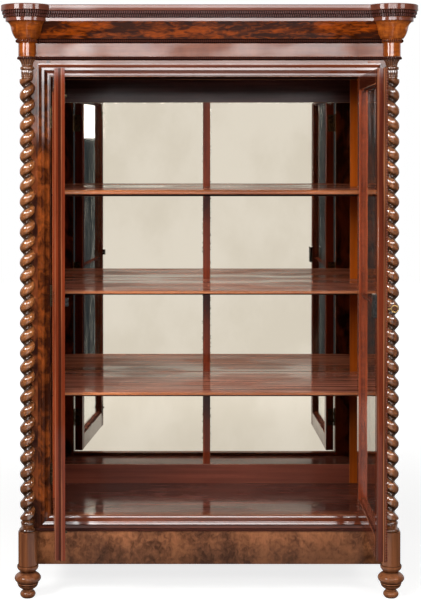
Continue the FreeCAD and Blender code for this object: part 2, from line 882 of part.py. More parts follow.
lock_x1 = lock_edge_x + lock_width
lock_case = box(lock_edge_x, lock_x1, lock_y, lock_y + lock_depth, lock_bottom, lock_top)
lock_case = lock_case.cut(box(
    lock_edge_x + lock_wall, lock_x1 - lock_wall, lock_y - overrun, lock_y + lock_depth - lock_wall,
    lock_bottom + lock_wall, lock_top - lock_wall,
))
lock_case = lock_case.cut(bolt_way(lock_edge_x - overrun, lock_edge_x + lock_wall + overrun, lock_bolt_clearance))
save("lock_case", swung_right(lock_case))
save("lock_bolt", swung_right(bolt_way(lock_edge_x, lock_edge_x + lock_bolt_length, 0)))

bit_y0 = lock_y + key_end_air
bit_y1 = lock_y + lock_depth - lock_wall - key_end_air
bow_y = -key_shank - bow_radius
key = fused([
    Part.makeCylinder(
        key_radius, bit_y1 + key_shank, Vector(key_x, -key_shank, key_z), Vector(0, 1, 0),
    ),
    Part.makeTorus(bow_radius, bow_wire, Vector(key_x, bow_y, key_z), Vector(1, 0, 0)),
    box(
        key_x - key_bit_thickness / 2, key_x + key_bit_thickness / 2, bit_y0, bit_y1,
        key_z - key_bit_length, key_z,
    ),
])
save("key", swung_right(key))

plate_curve = Part.Ellipse(Vector(0, 0, 0), escutcheon_half_height, escutcheon_half_width).toShape()
plate_face = Part.Face(Part.Wire(plate_curve))
plate_face.rotate(Vector(0, 0, 0), Vector(0, 0, 1), 90)
plate_face.rotate(Vector(0, 0, 0), Vector(1, 0, 0), 90)
plate_face.translate(Vector(key_x, 0, key_z))
escutcheon = plate_face.extrude(Vector(0, -escutcheon_thickness, 0))
save("escutcheon", swung_right(escutcheon.cut(keyhole(-escutcheon_thickness - overrun, overrun))))

keeper_x1 = -lock_edge_x
keeper = box(
    keeper_x1 - keeper_width, keeper_x1, lock_y, lock_y + lock_depth,
    lock_bolt_z - keeper_height / 2, lock_bolt_z + keeper_height / 2,
)
keeper_mouth = bolt_way(keeper_x1 - keeper_pocket, keeper_x1 + overrun, lock_bolt_clearance)
save("lock_keeper", swung_left(keeper.cut(keeper_mouth)))
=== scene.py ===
# %% [markdown]
# # A display case in polished mahogany
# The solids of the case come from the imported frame: posts, doors, shelves, cornice and feet. This script
# dresses them. It eases their edges, turns the twisted columns, adds the small repeated ornaments and the
# screws, and gives every surface a finish made of nodes. All lengths are in metres, in the frame's own
# axes: X to the right, Y to the back and Z up.

# %% Load the frame
import json
import math

import bmesh
import bpy
from mathutils import Matrix, Vector


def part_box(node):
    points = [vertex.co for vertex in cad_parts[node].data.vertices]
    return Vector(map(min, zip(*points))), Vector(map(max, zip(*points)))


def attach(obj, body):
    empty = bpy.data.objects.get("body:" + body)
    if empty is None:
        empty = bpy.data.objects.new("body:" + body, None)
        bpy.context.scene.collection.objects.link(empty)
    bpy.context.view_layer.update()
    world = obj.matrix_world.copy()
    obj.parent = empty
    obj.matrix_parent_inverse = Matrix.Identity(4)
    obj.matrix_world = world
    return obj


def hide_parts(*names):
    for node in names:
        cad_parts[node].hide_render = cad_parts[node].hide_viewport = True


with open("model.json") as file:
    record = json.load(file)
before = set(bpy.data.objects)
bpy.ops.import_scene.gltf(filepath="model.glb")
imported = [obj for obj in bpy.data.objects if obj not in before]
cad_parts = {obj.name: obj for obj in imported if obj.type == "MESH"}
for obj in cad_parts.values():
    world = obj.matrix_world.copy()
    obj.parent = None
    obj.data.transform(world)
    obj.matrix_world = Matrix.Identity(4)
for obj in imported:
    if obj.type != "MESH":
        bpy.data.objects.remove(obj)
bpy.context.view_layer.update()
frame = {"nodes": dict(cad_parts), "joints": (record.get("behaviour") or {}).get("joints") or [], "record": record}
nodes = frame["nodes"]

# %% [markdown]
# ## The camera
# The photograph was taken from about five metres away, at eye height, a little to the left of the middle.
# A camera that looks down makes uprights lean. A level one with its frame shifted down keeps them
# upright, as a view camera does, and a slight tilt takes over a small part of that shift.

# %% Camera
eye = Vector((-0.109, -5.130, 1.669))
tilt_down = math.radians(0.75)
camera_data = bpy.data.cameras.new("camera")
camera_data.sensor_width = 36.0
camera_data.lens = 82.9
camera_data.shift_x = 0.0507
camera_data.shift_y = -0.2217
camera_data.clip_end = 100.0
camera = bpy.data.objects.new("camera", camera_data)
camera.location = eye
camera.rotation_euler = (math.pi / 2 - tilt_down, 0.0, 0.0)
bpy.context.scene.collection.objects.link(camera)
bpy.context.scene.camera = camera
print("camera at", tuple(eye), "lens", camera_data.lens)

# %% [markdown]
# ## Helpers for node trees
# A shader or a geometry tree is a list of nodes with links between them. They could be drawn in the node
# editor, but a script shows every value. One helper makes a node, sets its options and fills its inputs:
# a value is written into the socket, and another node's output is linked to it. The short helpers after
# it wrap the nodes that come up often.


# %% Node helpers
def put(tree, kind, values=None, **options):
    made = tree.nodes.new(kind)
    for name, option in options.items():
        setattr(made, name, option)
    for socket, value in (values or {}).items():
        if isinstance(value, bpy.types.NodeSocket):
            tree.links.new(value, made.inputs[socket])
        else:
            made.inputs[socket].default_value = value
    return made


def math_node(tree, operation, a, b=0.0):
    return put(tree, "ShaderNodeMath", {0: a, 1: b}, operation=operation).outputs[0]


def axes(tree, vector):
    return put(tree, "ShaderNodeSeparateXYZ", {0: vector}).outputs


def scaled(tree, vector, stretch):
    return put(tree, "ShaderNodeVectorMath", {0: vector, 1: stretch}, operation="MULTIPLY").outputs[0]


def noise(tree, vector, stretch, detail=3.0, distortion=0.0):
    texture = put(tree, "ShaderNodeTexNoise", {
        "Vector": scaled(tree, vector, stretch), "Scale": 1.0, "Detail": detail, "Distortion": distortion,
    })
    return texture.outputs["Fac"]


def spread(tree, value, low, high, to_low=0.0, to_high=1.0):
    return put(tree, "ShaderNodeMapRange", {
        "Value": value, "From Min": low, "From Max": high, "To Min": to_low, "To Max": to_high,
    }, interpolation_type="SMOOTHSTEP").outputs["Result"]


def blend_colours(tree, factor, a, b):
    """A Mix node keeps its two colours at inputs 6 and 7, and the mixed colour at output 2."""
    return put(tree, "ShaderNodeMix", {"Factor": factor, 6: a, 7: b}, data_type="RGBA").outputs[2]


def bump(tree, height, strength, distance):
    values = {"Height": height, "Strength": strength, "Distance": distance}
    return put(tree, "ShaderNodeBump", values).outputs["Normal"]


# %% Helpers for groups and materials
FLOAT = "NodeSocketFloat"
COLOUR = "NodeSocketColor"
VECTOR = "NodeSocketVector"
GEOMETRY = "NodeSocketGeometry"
MATERIAL = "NodeSocketMaterial"


def new_group(name, kind, inputs, outputs):
    tree = bpy.data.node_groups.new(name, kind)
    for label, socket_type in inputs.items():
        tree.interface.new_socket(label, in_out="INPUT", socket_type=socket_type)
    for label, socket_type in outputs.items():
        tree.interface.new_socket(label, in_out="OUTPUT", socket_type=socket_type)
    return tree, tree.nodes.new("NodeGroupInput").outputs, tree.nodes.new("NodeGroupOutput").inputs


def place_group(tree, group, values):
    return put(tree, "ShaderNodeGroup", values, node_tree=group).outputs


def new_material(name):
    """An empty material, its tree, and the coordinates that every pattern here is laid on."""
    material = bpy.data.materials.new(name)
    material.use_nodes = True
    tree = material.node_tree
    tree.nodes.clear()
    return material, tree, tree.nodes.new("ShaderNodeTexCoord").outputs["Object"]


def principled(tree, values):
    shader = put(tree, "ShaderNodeBsdfPrincipled", values)
    put(tree, "ShaderNodeOutputMaterial", {"Surface": shader.outputs["BSDF"]})


# %% [markdown]
# ## Mahogany
# Mahogany shows long streaks, slow changes of tone and fine open pores, all running with the grain. A
# picture of a board would show its edge and repeat, so stretched noise is used. One group makes the grain
# for every wooden piece. It runs along the group's Z, and each material turns its own coordinates so that
# Z lies along the board.


# %% Grain group
no_figure = 0.5


def make_grain_group():
    tree, given, result = new_group(
        "Mahogany grain", "ShaderNodeTree",
        {
            "Vector": VECTOR, "Light": COLOUR, "Dark": COLOUR, "Figure": FLOAT, "Streak": FLOAT,
            "Wear and highlight": FLOAT,
        },
        {"Color": COLOUR, "Height": FLOAT, "Roughness": FLOAT},
    )
    rubbed_and_highlight_wood = (0.45, 0.20, 0.09, 1.0)
    pore_darkness = 0.55
    streak = noise(tree, given["Vector"], (75.0, 75.0, 2.6), 4.0, 0.3)
    slow = noise(tree, given["Vector"], (8.0, 8.0, 1.1), 2.0, 0.5)
    pore = spread(tree, noise(tree, given["Vector"], (1300.0, 1300.0, 38.0), 1.0), 0.60, 0.70)
    streaks = math_node(tree, "MULTIPLY", math_node(tree, "SUBTRACT", streak, slow), given["Streak"])
    tone = math_node(tree, "ADD", slow, streaks)
    tone = math_node(tree, "ADD", tone, math_node(tree, "SUBTRACT", given["Figure"], no_figure))
    board = blend_colours(tree, spread(tree, tone, 0.25, 0.80), given["Dark"], given["Light"])
    open_pores = math_node(tree, "MULTIPLY", pore, pore_darkness)
    grained = blend_colours(tree, open_pores, board, given["Dark"])
    # Marked places go paler: partly wear, partly a painted highlight on rounded edges and arrises.
    rub_and_highlight = math_node(tree, "MULTIPLY", given["Wear and highlight"], spread(tree, streak, 0.35, 0.6, 0.2, 0.75))
    lighter = blend_colours(tree, 0.6, given["Light"], rubbed_and_highlight_wood)
    tree.links.new(blend_colours(tree, rub_and_highlight, grained, lighter), result["Color"])
    tree.links.new(math_node(tree, "SUBTRACT", 1.0, pore), result["Height"])
    tree.links.new(spread(tree, slow, 0.3, 0.7, 0.30, 0.44), result["Roughness"])
    return tree


grain_group = make_grain_group()
print("group", grain_group.name)

# %% [markdown]
# ## Figured veneers
# The posts and the frieze have flame: sheets cut where a branch leaves the trunk, laid so that one half
# of the case mirrors the other, a little further along the trunk. The plinth, the cornice, its capitals
# and the upright mouldings have burl: a restless figure with no direction. Each could be painted, but a
# mask of noise that pushes the grain's tone lighter or darker has no edge. A figure is one wide and one
# fine noise, and both swing about zero.


# %% Figure groups
mean_noise = 0.5


def link_figure(tree, place, layers, strength, level, result):
    """Each layer is a noise: its stretch, detail, distortion and share of the figure."""
    shares = []
    for stretch, detail, distortion, share in layers:
        swing = math_node(tree, "SUBTRACT", noise(tree, place, stretch, detail, distortion), mean_noise)
        shares.append(math_node(tree, "MULTIPLY", swing, share))
    figure = math_node(tree, "MULTIPLY", math_node(tree, "ADD", *shares), strength)
    tree.links.new(math_node(tree, "ADD", level, figure), result["Figure"])


def make_flame_group():
    tree, given, result = new_group(
        "Flame figure", "ShaderNodeTree",
        {"Vector": VECTOR, "Sheet": FLOAT, "Strength": FLOAT}, {"Figure": FLOAT},
    )
    shift_of_next_sheet = 0.13
    split = axes(tree, given["Vector"])
    leaf = math_node(tree, "FLOOR", math_node(tree, "DIVIDE", split["X"], given["Sheet"]))
    across = math_node(tree, "PINGPONG", split["X"], given["Sheet"])
    along = math_node(tree, "ADD", split["Z"], math_node(tree, "MULTIPLY", leaf, shift_of_next_sheet))
    place = put(tree, "ShaderNodeCombineXYZ", {"X": across, "Y": split["Y"], "Z": along}).outputs[0]
    plume = ((8.0, 8.0, 5.5), 3.0, 1.3, 1.9)
    feather = ((55.0, 55.0, 14.0), 4.0, 1.0, 0.4)
    link_figure(tree, place, (plume, feather), given["Strength"], no_figure, result)
    return tree


def make_burl_group():
    tree, given, result = new_group(
        "Burl figure", "ShaderNodeTree",
        {"Vector": VECTOR, "Stretch": VECTOR, "Strength": FLOAT, "Lift": FLOAT}, {"Figure": FLOAT},
    )
    place = scaled(tree, given["Vector"], given["Stretch"])
    swirl = ((5.0, 5.0, 24.0), 3.0, 1.0, 0.8)
    curl = ((26.0, 26.0, 95.0), 4.0, 1.0, 0.8)
    link_figure(tree, place, (swirl, curl), given["Strength"], given["Lift"], result)
    return tree


flame_group = make_flame_group()
burl_group = make_burl_group()
print("groups", flame_group.name, "and", burl_group.name)

# %% [markdown]
# ## Dust
# A tall case is dusted, but never all over. A pale film stays on faces that look up, thicker in some
# places than in others. The group takes a colour and gives it back with the film on it, so every wood
# can have it in its own amount.


# %% Dust group
def make_dust_group():
    tree, given, result = new_group(
        "Dust film", "ShaderNodeTree",
        {"Color": COLOUR, "Vector": VECTOR, "Amount": FLOAT}, {"Color": COLOUR},
    )
    dust_colour = (0.42, 0.36, 0.31, 1.0)
    normal = tree.nodes.new("ShaderNodeNewGeometry").outputs["Normal"]
    upward = spread(tree, axes(tree, normal)["Z"], 0.55, 0.95)
    cloud = spread(tree, noise(tree, given["Vector"], (14.0, 14.0, 14.0), 5.0), 0.35, 0.75)
    film = math_node(tree, "MULTIPLY", math_node(tree, "MULTIPLY", upward, cloud), given["Amount"])
    tree.links.new(blend_colours(tree, film, given["Color"], dust_colour), result["Color"])
    return tree


dust_group = make_dust_group()
print("group", dust_group.name)

# %% [markdown]
# ## Wooden finishes
# French polish is many thin coats of shellac: a clear gloss over the wood. A single roughness could not
# show both, so the wood stays rough and a smooth coat lies over it. What differs from piece to piece is
# the colour, the way of the grain, the figure, the polish and the dust. Marked places are painted darker,
# which stands partly for grime and partly for painted shade in grooves, joints and steps. Other marked
# places are painted paler, which stands partly for wear and partly for a painted highlight on rounded edges.


# %% Polished wood
GRAIN_TURN = {"Z": (0.0, 0.0, 0.0), "X": (0.0, -math.pi / 2, 0.0), "Y": (math.pi / 2, 0.0, 0.0)}
# A near-black for grime, and for painted shade in grooves, joints, steps and behind the teeth.
GRIME_AND_SHADE = (0.014, 0.006, 0.003, 1.0)
grime_and_shade_depth, hollow_polish = 0.88, 0.45
handled_from, handled_to = 0.25, 0.52


def polished(
    name, light, dark, along="Z", streak=0.5, flame=0.0, sheet=2.0, burl=0.0, lift=0.5,
    stretch=(1.0, 1.0, 1.0), coat=0.4, gloss=0.07, coat_ior=1.5, uneven=0.2, handled=0.0, dust=0.04,
    dark_band=None,
):
    """A polished wood, lighter and darker along its grain.

    flame and burl are the strength of a figure: sheet is the width of a sheet of flame, lift the mean tone of
    burl, and stretch its scale. coat is the weight of the polish, uneven the share missing in patches, and
    handled the share rubbed off toward the front. dark_band gives the strength of a darker band, the height
    where it is full and the height where it ends: on the cornice and capitals it is painted shade behind the
    teeth, and on the plinth it makes the wood darker towards the bottom.
    """
    material, tree, place = new_material(name)
    turned = put(tree, "ShaderNodeMapping", {"Vector": place, "Rotation": GRAIN_TURN[along]}).outputs[0]
    figure = no_figure
    if flame:
        values = {"Vector": place, "Sheet": sheet, "Strength": flame}
        figure = place_group(tree, flame_group, values)["Figure"]
    if burl:
        values = {"Vector": place, "Stretch": stretch, "Strength": burl, "Lift": lift}
        figure = place_group(tree, burl_group, values)["Figure"]
    # Faces marked here are painted paler: partly wear, partly a painted highlight on rounded edges.
    wear_and_highlight = put(tree, "ShaderNodeAttribute", attribute_name="wear_and_highlight").outputs["Fac"]
    hollow = put(tree, "ShaderNodeAttribute", attribute_name="hollow").outputs["Fac"]
    grain = place_group(tree, grain_group, {
        "Vector": turned, "Light": (*light, 1.0), "Dark": (*dark, 1.0), "Figure": figure, "Streak": streak,
        "Wear and highlight": wear_and_highlight,
    })
    # Marked places go darker: partly grime, partly painted shade in grooves, joints and steps.
    grime_and_shade_mix = math_node(tree, "MULTIPLY", hollow, grime_and_shade_depth)
    colour = blend_colours(tree, grime_and_shade_mix, grain["Color"], GRIME_AND_SHADE)
    # The band is painted shade behind the cornice teeth; on the plinth it darkens the wood toward the bottom.
    if dark_band:
        strength, dark_level, clean_level = dark_band
        band = spread(tree, axes(tree, place)["Z"], dark_level, clean_level, strength, 0.0)
        colour = blend_colours(tree, band, colour, GRIME_AND_SHADE)
    film = place_group(tree, dust_group, {"Color": colour, "Vector": place, "Amount": dust})
    patches = noise(tree, turned, (9.0, 9.0, 3.0), 2.0)
    polish = spread(tree, patches, 0.40, 0.60, coat * (1 - uneven), coat)
    polish = math_node(tree, "MULTIPLY", polish, spread(tree, hollow, 0.0, 1.0, 1.0, hollow_polish))
    if handled:
        left_on = spread(tree, axes(tree, place)["Y"], handled_from, handled_to, 1.0 - handled, 1.0)
        polish = math_node(tree, "MULTIPLY", polish, left_on)
    principled(tree, {
        "Base Color": film["Color"], "Roughness": grain["Roughness"],
        "Normal": bump(tree, grain["Height"], 0.12, 0.0003), "Specular IOR Level": 0.0,
        "Coat Weight": polish, "Coat Roughness": gloss, "Coat IOR": coat_ior,
    })
    return material


# %% Woods of the case
post_wood = polished("post mahogany", (0.225, 0.055, 0.017), (0.034, 0.010, 0.006), flame=1.1, coat=0.30)
rail_wood = polished("rail mahogany", (0.22, 0.062, 0.030), (0.085, 0.024, 0.012), "X", coat=0.5)
case_wood = polished("case mahogany", (0.27, 0.080, 0.028), (0.095, 0.026, 0.010), coat=0.3, gloss=0.12)
# Near-black wood that stands for places in shade: painted shade.
painted_shade_wood = polished("painted shade mahogany", (0.020, 0.006, 0.005), (0.008, 0.003, 0.002), "X", coat=0.0)
plain_wood = polished("back board pine", (0.42, 0.26, 0.13), (0.24, 0.135, 0.060), coat=0.0, dust=0.4)
# Lighter wood for the back frame's side uprights: painted light, as if lit through the opening.
painted_lit_back_wood = polished(
    "painted lit back mahogany", (0.50, 0.100, 0.007), (0.25, 0.046, 0.004), coat=0.15, gloss=0.2,
)
board_wood = polished(
    "board mahogany", (0.18, 0.048, 0.030), (0.050, 0.014, 0.010), "X", coat=0.65, gloss=0.10,
)
back_wood = polished(
    "back mahogany", (0.100, 0.032, 0.024), (0.026, 0.008, 0.006), "X", coat=0.3, gloss=0.2,
)
low_back_wood = polished(
    "low back mahogany", (0.24, 0.060, 0.034), (0.100, 0.024, 0.014), "X", coat=1.0, gloss=0.12,
)
shelf_wood = polished(
    "shelf mahogany", (0.64, 0.225, 0.135), (0.090, 0.022, 0.012), "X", streak=0.9,
    coat=1.0, gloss=0.06, uneven=0.5, handled=0.5,
)
# Paler wood for the noses of the shelves: their own colour with a painted highlight.
shelf_edge_with_highlight = polished(
    "shelf edge mahogany", (0.44, 0.140, 0.046), (0.19, 0.048, 0.015), "X", coat=1.0, gloss=0.20,
)
# The plinth is painted darker towards the bottom.
plinth_wood = polished(
    "plinth burl veneer", (0.36, 0.130, 0.052), (0.060, 0.018, 0.007),
    burl=0.75, lift=0.52, stretch=(1.9, 1.9, 0.45), streak=0.15, coat=0.35, dark_band=(0.5, 0.12, 0.25),
)
print("woods of the case", grain_group.users)

# %% Woods of the cornice
# A near-black band painted on the cornice moulding and capitals behind the teeth: painted shade.
shade_of_teeth = (0.95, 2.1535, 2.1520)
frieze_wood = polished(
    "frieze veneer", (0.22, 0.058, 0.022), (0.100, 0.026, 0.011), "X", flame=0.3, coat=0.5, uneven=0.7,
)
burl_wood = polished(
    "cornice burl veneer", (0.29, 0.048, 0.003), (0.028, 0.006, 0.002), "X", burl=1.2, lift=0.42,
    coat=0.4, gloss=0.09, dark_band=shade_of_teeth,
)
capital_wood = polished(
    "capital mahogany", (0.40, 0.090, 0.010), (0.10, 0.018, 0.003), burl=0.5,
    coat=0.8, gloss=0.06, dark_band=shade_of_teeth,
)
# A brighter copy of the capital wood for the right capital: painted light, as the right lamp is weaker.
painted_lit_capital_wood = polished(
    "painted lit right capital mahogany", (0.62, 0.160, 0.020), (0.20, 0.040, 0.006), burl=0.5,
    coat=0.9, gloss=0.06, dark_band=shade_of_teeth,
)
slab_wood = polished(
    "slab mahogany", (0.20, 0.060, 0.035), (0.090, 0.026, 0.016), "X", coat=0.7, gloss=0.08,
)
dark_wood = polished(
    "dark moulding", (0.080, 0.022, 0.014), (0.024, 0.007, 0.005), "X", coat=0.08, gloss=0.2,
)
tooth_wood = polished(
    "tooth mahogany", (0.110, 0.034, 0.026), (0.046, 0.015, 0.012), "X", coat=0.25, gloss=0.25,
)
print("woods so far", grain_group.users)

# %% Woods of the turnings, mouldings and doors
twist_wood = polished(
    "twist mahogany", (0.38, 0.128, 0.037), (0.11, 0.032, 0.010),
    coat=1.0, gloss=0.10, coat_ior=2.3, dust=0.0,
)
foot_wood = polished("turned mahogany", (0.42, 0.150, 0.056), (0.130, 0.040, 0.016), coat=0.8, gloss=0.09)
surround_upright = polished(
    "surround mahogany", (0.27, 0.060, 0.011), (0.036, 0.008, 0.003),
    burl=1.2, lift=0.42, stretch=(1.0, 1.0, 0.28), streak=0.3, coat=0.8,
)
surround_level = polished(
    "surround mahogany level", (0.19, 0.042, 0.015), (0.070, 0.014, 0.006), "X", coat=1.0,
)
stile_wood = polished("stile mahogany", (0.25, 0.040, 0.012), (0.060, 0.009, 0.004), coat=0.5)
hinge_stile_wood = polished("hinge stile mahogany", (0.36, 0.066, 0.020), (0.10, 0.017, 0.007), coat=1.0)
right_stile_wood = polished("right stile mahogany", (0.20, 0.034, 0.012), (0.050, 0.008, 0.004), coat=0.5)
door_rail_wood = polished("door rail mahogany", (0.22, 0.042, 0.016), (0.060, 0.011, 0.005), "Y", coat=1.0)
print("wooden finishes", grain_group.users)

# %% [markdown]
# ## Glass and mirrors
# Old drawn glass isn't quite flat, so its reflections waver. The wavering could be modelled, but a bump
# with waves a hand wide and a fraction of a millimetre high does it on a flat pane. A shadow ray passes a
# pane straight, because bent light would leave the inside dark and speckled. The silvering of the mirrors
# has yellowed, and it has spots along the edges.


# %% Glass
def make_glass():
    material, tree, place = new_material("old glass")
    smear = spread(tree, noise(tree, place, (4.0, 4.0, 4.0), 5.0), 0.45, 0.8, 0.0, 0.05)
    pane = put(tree, "ShaderNodeBsdfPrincipled", {
        "Base Color": (0.93, 0.96, 0.95, 1.0), "Roughness": smear, "IOR": 1.45, "Transmission Weight": 1.0,
        "Normal": bump(tree, noise(tree, place, (9.0, 9.0, 5.0), 2.0), 0.25, 0.0015),
    })
    clear = put(tree, "ShaderNodeBsdfTransparent", {"Color": (0.95, 0.97, 0.96, 1.0)})
    shadow = tree.nodes.new("ShaderNodeLightPath").outputs["Is Shadow Ray"]
    either = put(tree, "ShaderNodeMixShader", {0: shadow, 1: pane.outputs[0], 2: clear.outputs[0]})
    put(tree, "ShaderNodeOutputMaterial", {"Surface": either.outputs["Shader"]})
    return material


old_glass = make_glass()
print("made", old_glass.name)


# %% Mirror
def make_mirror(name, low, high):
    material, tree, place = new_material(name)
    bright_silver, dull_silver = (0.735, 0.670, 0.560, 1.0), (0.675, 0.610, 0.500, 1.0)
    bare_back = (0.012, 0.009, 0.006, 1.0)
    spotted_edge = 0.006
    split = axes(tree, place)
    from_edges = []
    for axis, index in (("X", 0), ("Z", 2)):
        from_edges.append(math_node(tree, "SUBTRACT", split[axis], low[index]))
        from_edges.append(math_node(tree, "SUBTRACT", high[index], split[axis]))
    nearest = from_edges[0]
    for distance in from_edges[1:]:
        nearest = math_node(tree, "MINIMUM", nearest, distance)
    spots = spread(tree, noise(tree, place, (170.0, 170.0, 130.0), 4.0), 0.52, 0.62)
    loss = math_node(tree, "MULTIPLY", spots, spread(tree, nearest, 0.0, spotted_edge, 0.5, 0.0))
    cloud = spread(tree, noise(tree, place, (4.0, 4.0, 3.0), 4.0), 0.35, 0.65)
    aged = blend_colours(tree, cloud, bright_silver, dull_silver)
    principled(tree, {
        "Base Color": blend_colours(tree, loss, aged, bare_back), "Metallic": 1.0,
        "Roughness": spread(tree, loss, 0.0, 1.0, 0.02, 0.5),
        "Normal": bump(tree, noise(tree, place, (5.0, 5.0, 2.5), 1.0), 0.1, 0.001),
    })
    return material


mirror_finish = {}
for side in ("left", "right"):
    mirror_finish[side] = make_mirror(f"{side} old mirror", *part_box(f"{side}_mirror"))
print("made", [finish.name for finish in mirror_finish.values()])

# %% [markdown]
# ## Brass and steel
# The key and the escutcheon are brass that hands keep bright. Hinges, plates and bolts are the same brass
# gone dull, and the lock is dark steel. All come from one function: a clean colour, a tarnished colour
# and cloudy noise between the two, with fine scratches.


# %% Metals
def make_metal(name, clean, tarnished, smooth, rough):
    material, tree, place = new_material(name)
    cloud = spread(tree, noise(tree, place, (160.0, 160.0, 160.0), 5.0), 0.38, 0.66)
    scratch = noise(tree, place, (900.0, 900.0, 120.0), 2.0)
    principled(tree, {
        "Base Color": blend_colours(tree, cloud, (*clean, 1.0), (*tarnished, 1.0)), "Metallic": 1.0,
        "Roughness": spread(tree, cloud, 0.0, 1.0, smooth, rough),
        "Normal": bump(tree, scratch, 0.08, 0.0002),
    })
    return material


brass = make_metal("aged brass", (0.50, 0.33, 0.13), (0.22, 0.14, 0.055), 0.20, 0.42)
dull_brass = make_metal("dull brass", (0.12, 0.080, 0.040), (0.040, 0.028, 0.018), 0.32, 0.55)
steel = make_metal("lock steel", (0.055, 0.052, 0.050), (0.022, 0.019, 0.018), 0.30, 0.5)
print("made", brass.name, dull_brass.name, "and", steel.name)

# %% [markdown]
# ## Finishes on the solids
# Each solid takes the finish of the board it is. The grain of an upright runs up, that of a rail runs
# across, and that of a door rail runs along the open door, which stands nearly along Y. A finish could be
# set solid by solid, but one table shows at a glance which solids are alike.

# %% Assign finishes
shelves = ["upper_shelf", "middle_shelf", "lower_shelf"]
FINISHES = {
    post_wood: ["left_corner_post", "right_corner_post"],
    rail_wood: ["head_rail", "sill_rail"],
    # The door stop and the strips behind the teeth are painted near-black: painted shade.
    painted_shade_wood: ["door_stop", "dentil_and_bead_strips"],
    case_wood: ["left_side", "right_side"],
    board_wood: ["bottom_board", "shelf_cleats", "top_board", "plinth_sides", "cornice_frame"],
    back_wood: ["back_frame"],
    plain_wood: ["back_boards"],
    shelf_wood: shelves,
    plinth_wood: ["plinth_front"],
    frieze_wood: ["frieze"],
    burl_wood: ["cornice_moulding"],
    capital_wood: ["left_capital"],
    painted_lit_capital_wood: ["right_capital"],
    dark_wood: ["plinth_cap"],
    slab_wood: ["cornice_top"],
    twist_wood: ["left_column", "right_column"],
    foot_wood: ["left_base_drum", "right_base_drum", "left_front_foot", "right_front_foot", "rear_feet"],
    surround_upright: ["surround_left", "surround_right"],
    surround_level: ["surround_top", "surround_bottom"],
    stile_wood: ["left_door_hinge_stile", "left_door_meeting_stile"],
    hinge_stile_wood: ["right_door_hinge_stile"],
    right_stile_wood: ["right_door_meeting_stile"],
    door_rail_wood: [
        "left_door_rails", "right_door_rails", "left_door_glazing_bars", "right_door_glazing_bars",
    ],
    old_glass: ["left_door_panes", "right_door_panes"],
    mirror_finish["left"]: ["left_mirror"],
    mirror_finish["right"]: ["right_mirror"],
    brass: ["escutcheon", "key"],
    dull_brass: [
        "case_hinge_leaves", "left_door_hinge_leaves", "right_door_hinge_leaves", "hinge_pins",
        "bolt_plates", "top_bolt", "bottom_bolt",
    ],
    steel: ["lock_case", "lock_bolt", "lock_keeper"],
}
finish_of = {name: material for material, names in FINISHES.items() for name in names}
for name, node in nodes.items():
    node.data.materials.clear()
    node.data.materials.append(finish_of[name])
print("finished nodes", len(finish_of), "of", len(nodes))

# %% [markdown]
# ## Closed and open doors
# The doors stand open in the frame, but a place on a door is easier to name when it is closed and square
# to the case. One turn about the pin leads from closed to open. The pin and the angle come from the
# frame's joints: a door is closed at the low end of its range.

# %% Swing from closed to open
joints = {joint["name"]: joint for joint in frame["joints"]}


def opening_turn(joint):
    pivot = Matrix.Translation(Vector(joint["pos_m"]))
    angle = math.radians(-joint["range_deg"][0])
    return pivot @ Matrix.Rotation(angle, 4, Vector(joint["axis"])) @ pivot.inverted()


turn_of = {
    "case": Matrix.Identity(4),
    "left_door": opening_turn(joints["left_door_swing"]),
    "right_door": opening_turn(joints["right_door_swing"]),
}
print("doors open by", [-joints[f"{side}_door_swing"]["range_deg"][0] for side in ("left", "right")])

# %% [markdown]
# ## From a shape to a piece
# A shape is drawn as a bmesh, which can be cut and bevelled, and then becomes a plain mesh. A piece is
# that mesh on an object at the origin. It rides on one body and may stand for solids of the frame. Most
# shapes here are rings of points with faces between them, like hoops with a skin.

# %% Piece helpers
slot_of = {entry["node"]: entry["material_slot"] for entry in frame["record"]["subparts"]}
body_of = {name: body for body, names in frame["record"]["behaviour"]["bodies"].items() for name in names}


def skin(shape, rings):
    """Smooth faces from each ring of points to the next, with a flat face on both ends."""
    count = len(rings[0])
    for low, high in zip(rings, rings[1:]):
        for k in range(count):
            after = (k + 1) % count
            shape.faces.new((low[k], low[after], high[after], high[k]))
    shape.faces.new(list(reversed(rings[0])))
    shape.faces.new(rings[-1])
    for face in shape.faces:
        face.smooth = True


def as_mesh(shape, name, material=None, sharp_degrees=None):
    mesh = bpy.data.meshes.new(name)
    shape.to_mesh(mesh)
    shape.free()
    if material:
        mesh.materials.append(material)
    if sharp_degrees:
        mesh.set_sharp_from_angle(angle=math.radians(sharp_degrees))
    return mesh


def add_piece(name, mesh, body, slot, *stands_for):
    piece = bpy.data.objects.new(name, mesh)
    bpy.context.scene.collection.objects.link(piece)
    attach(piece, body)
    if stands_for:
        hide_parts(*stands_for)
    print(name, len(mesh.polygons), "faces")


# %% [markdown]
# ## Eased edges
# No real board has a knife edge. Polish and hands round it, and the round catches a thin line of light. A
# Bevel modifier can pick edges by their angle but not by their length, so they are chosen here. A copy of
# each solid has its triangles merged back into flat faces, its long sharp edges rounded, and the new
# faces marked to be painted paler: partly wear, partly a painted highlight along the round. The copy
# then stands for the solid. The lip of the door that closes last also loses its front corner, to make
# room for a string of beads.

# %% Ease the edges
sharp, flat = math.radians(30.0), math.radians(0.5)
weld, shortest_edge = 1e-6, 0.04
lip_edge, lip_chamfer, lip_reach, lip_rise = -0.00925, 0.0065, 1e-4, 0.01


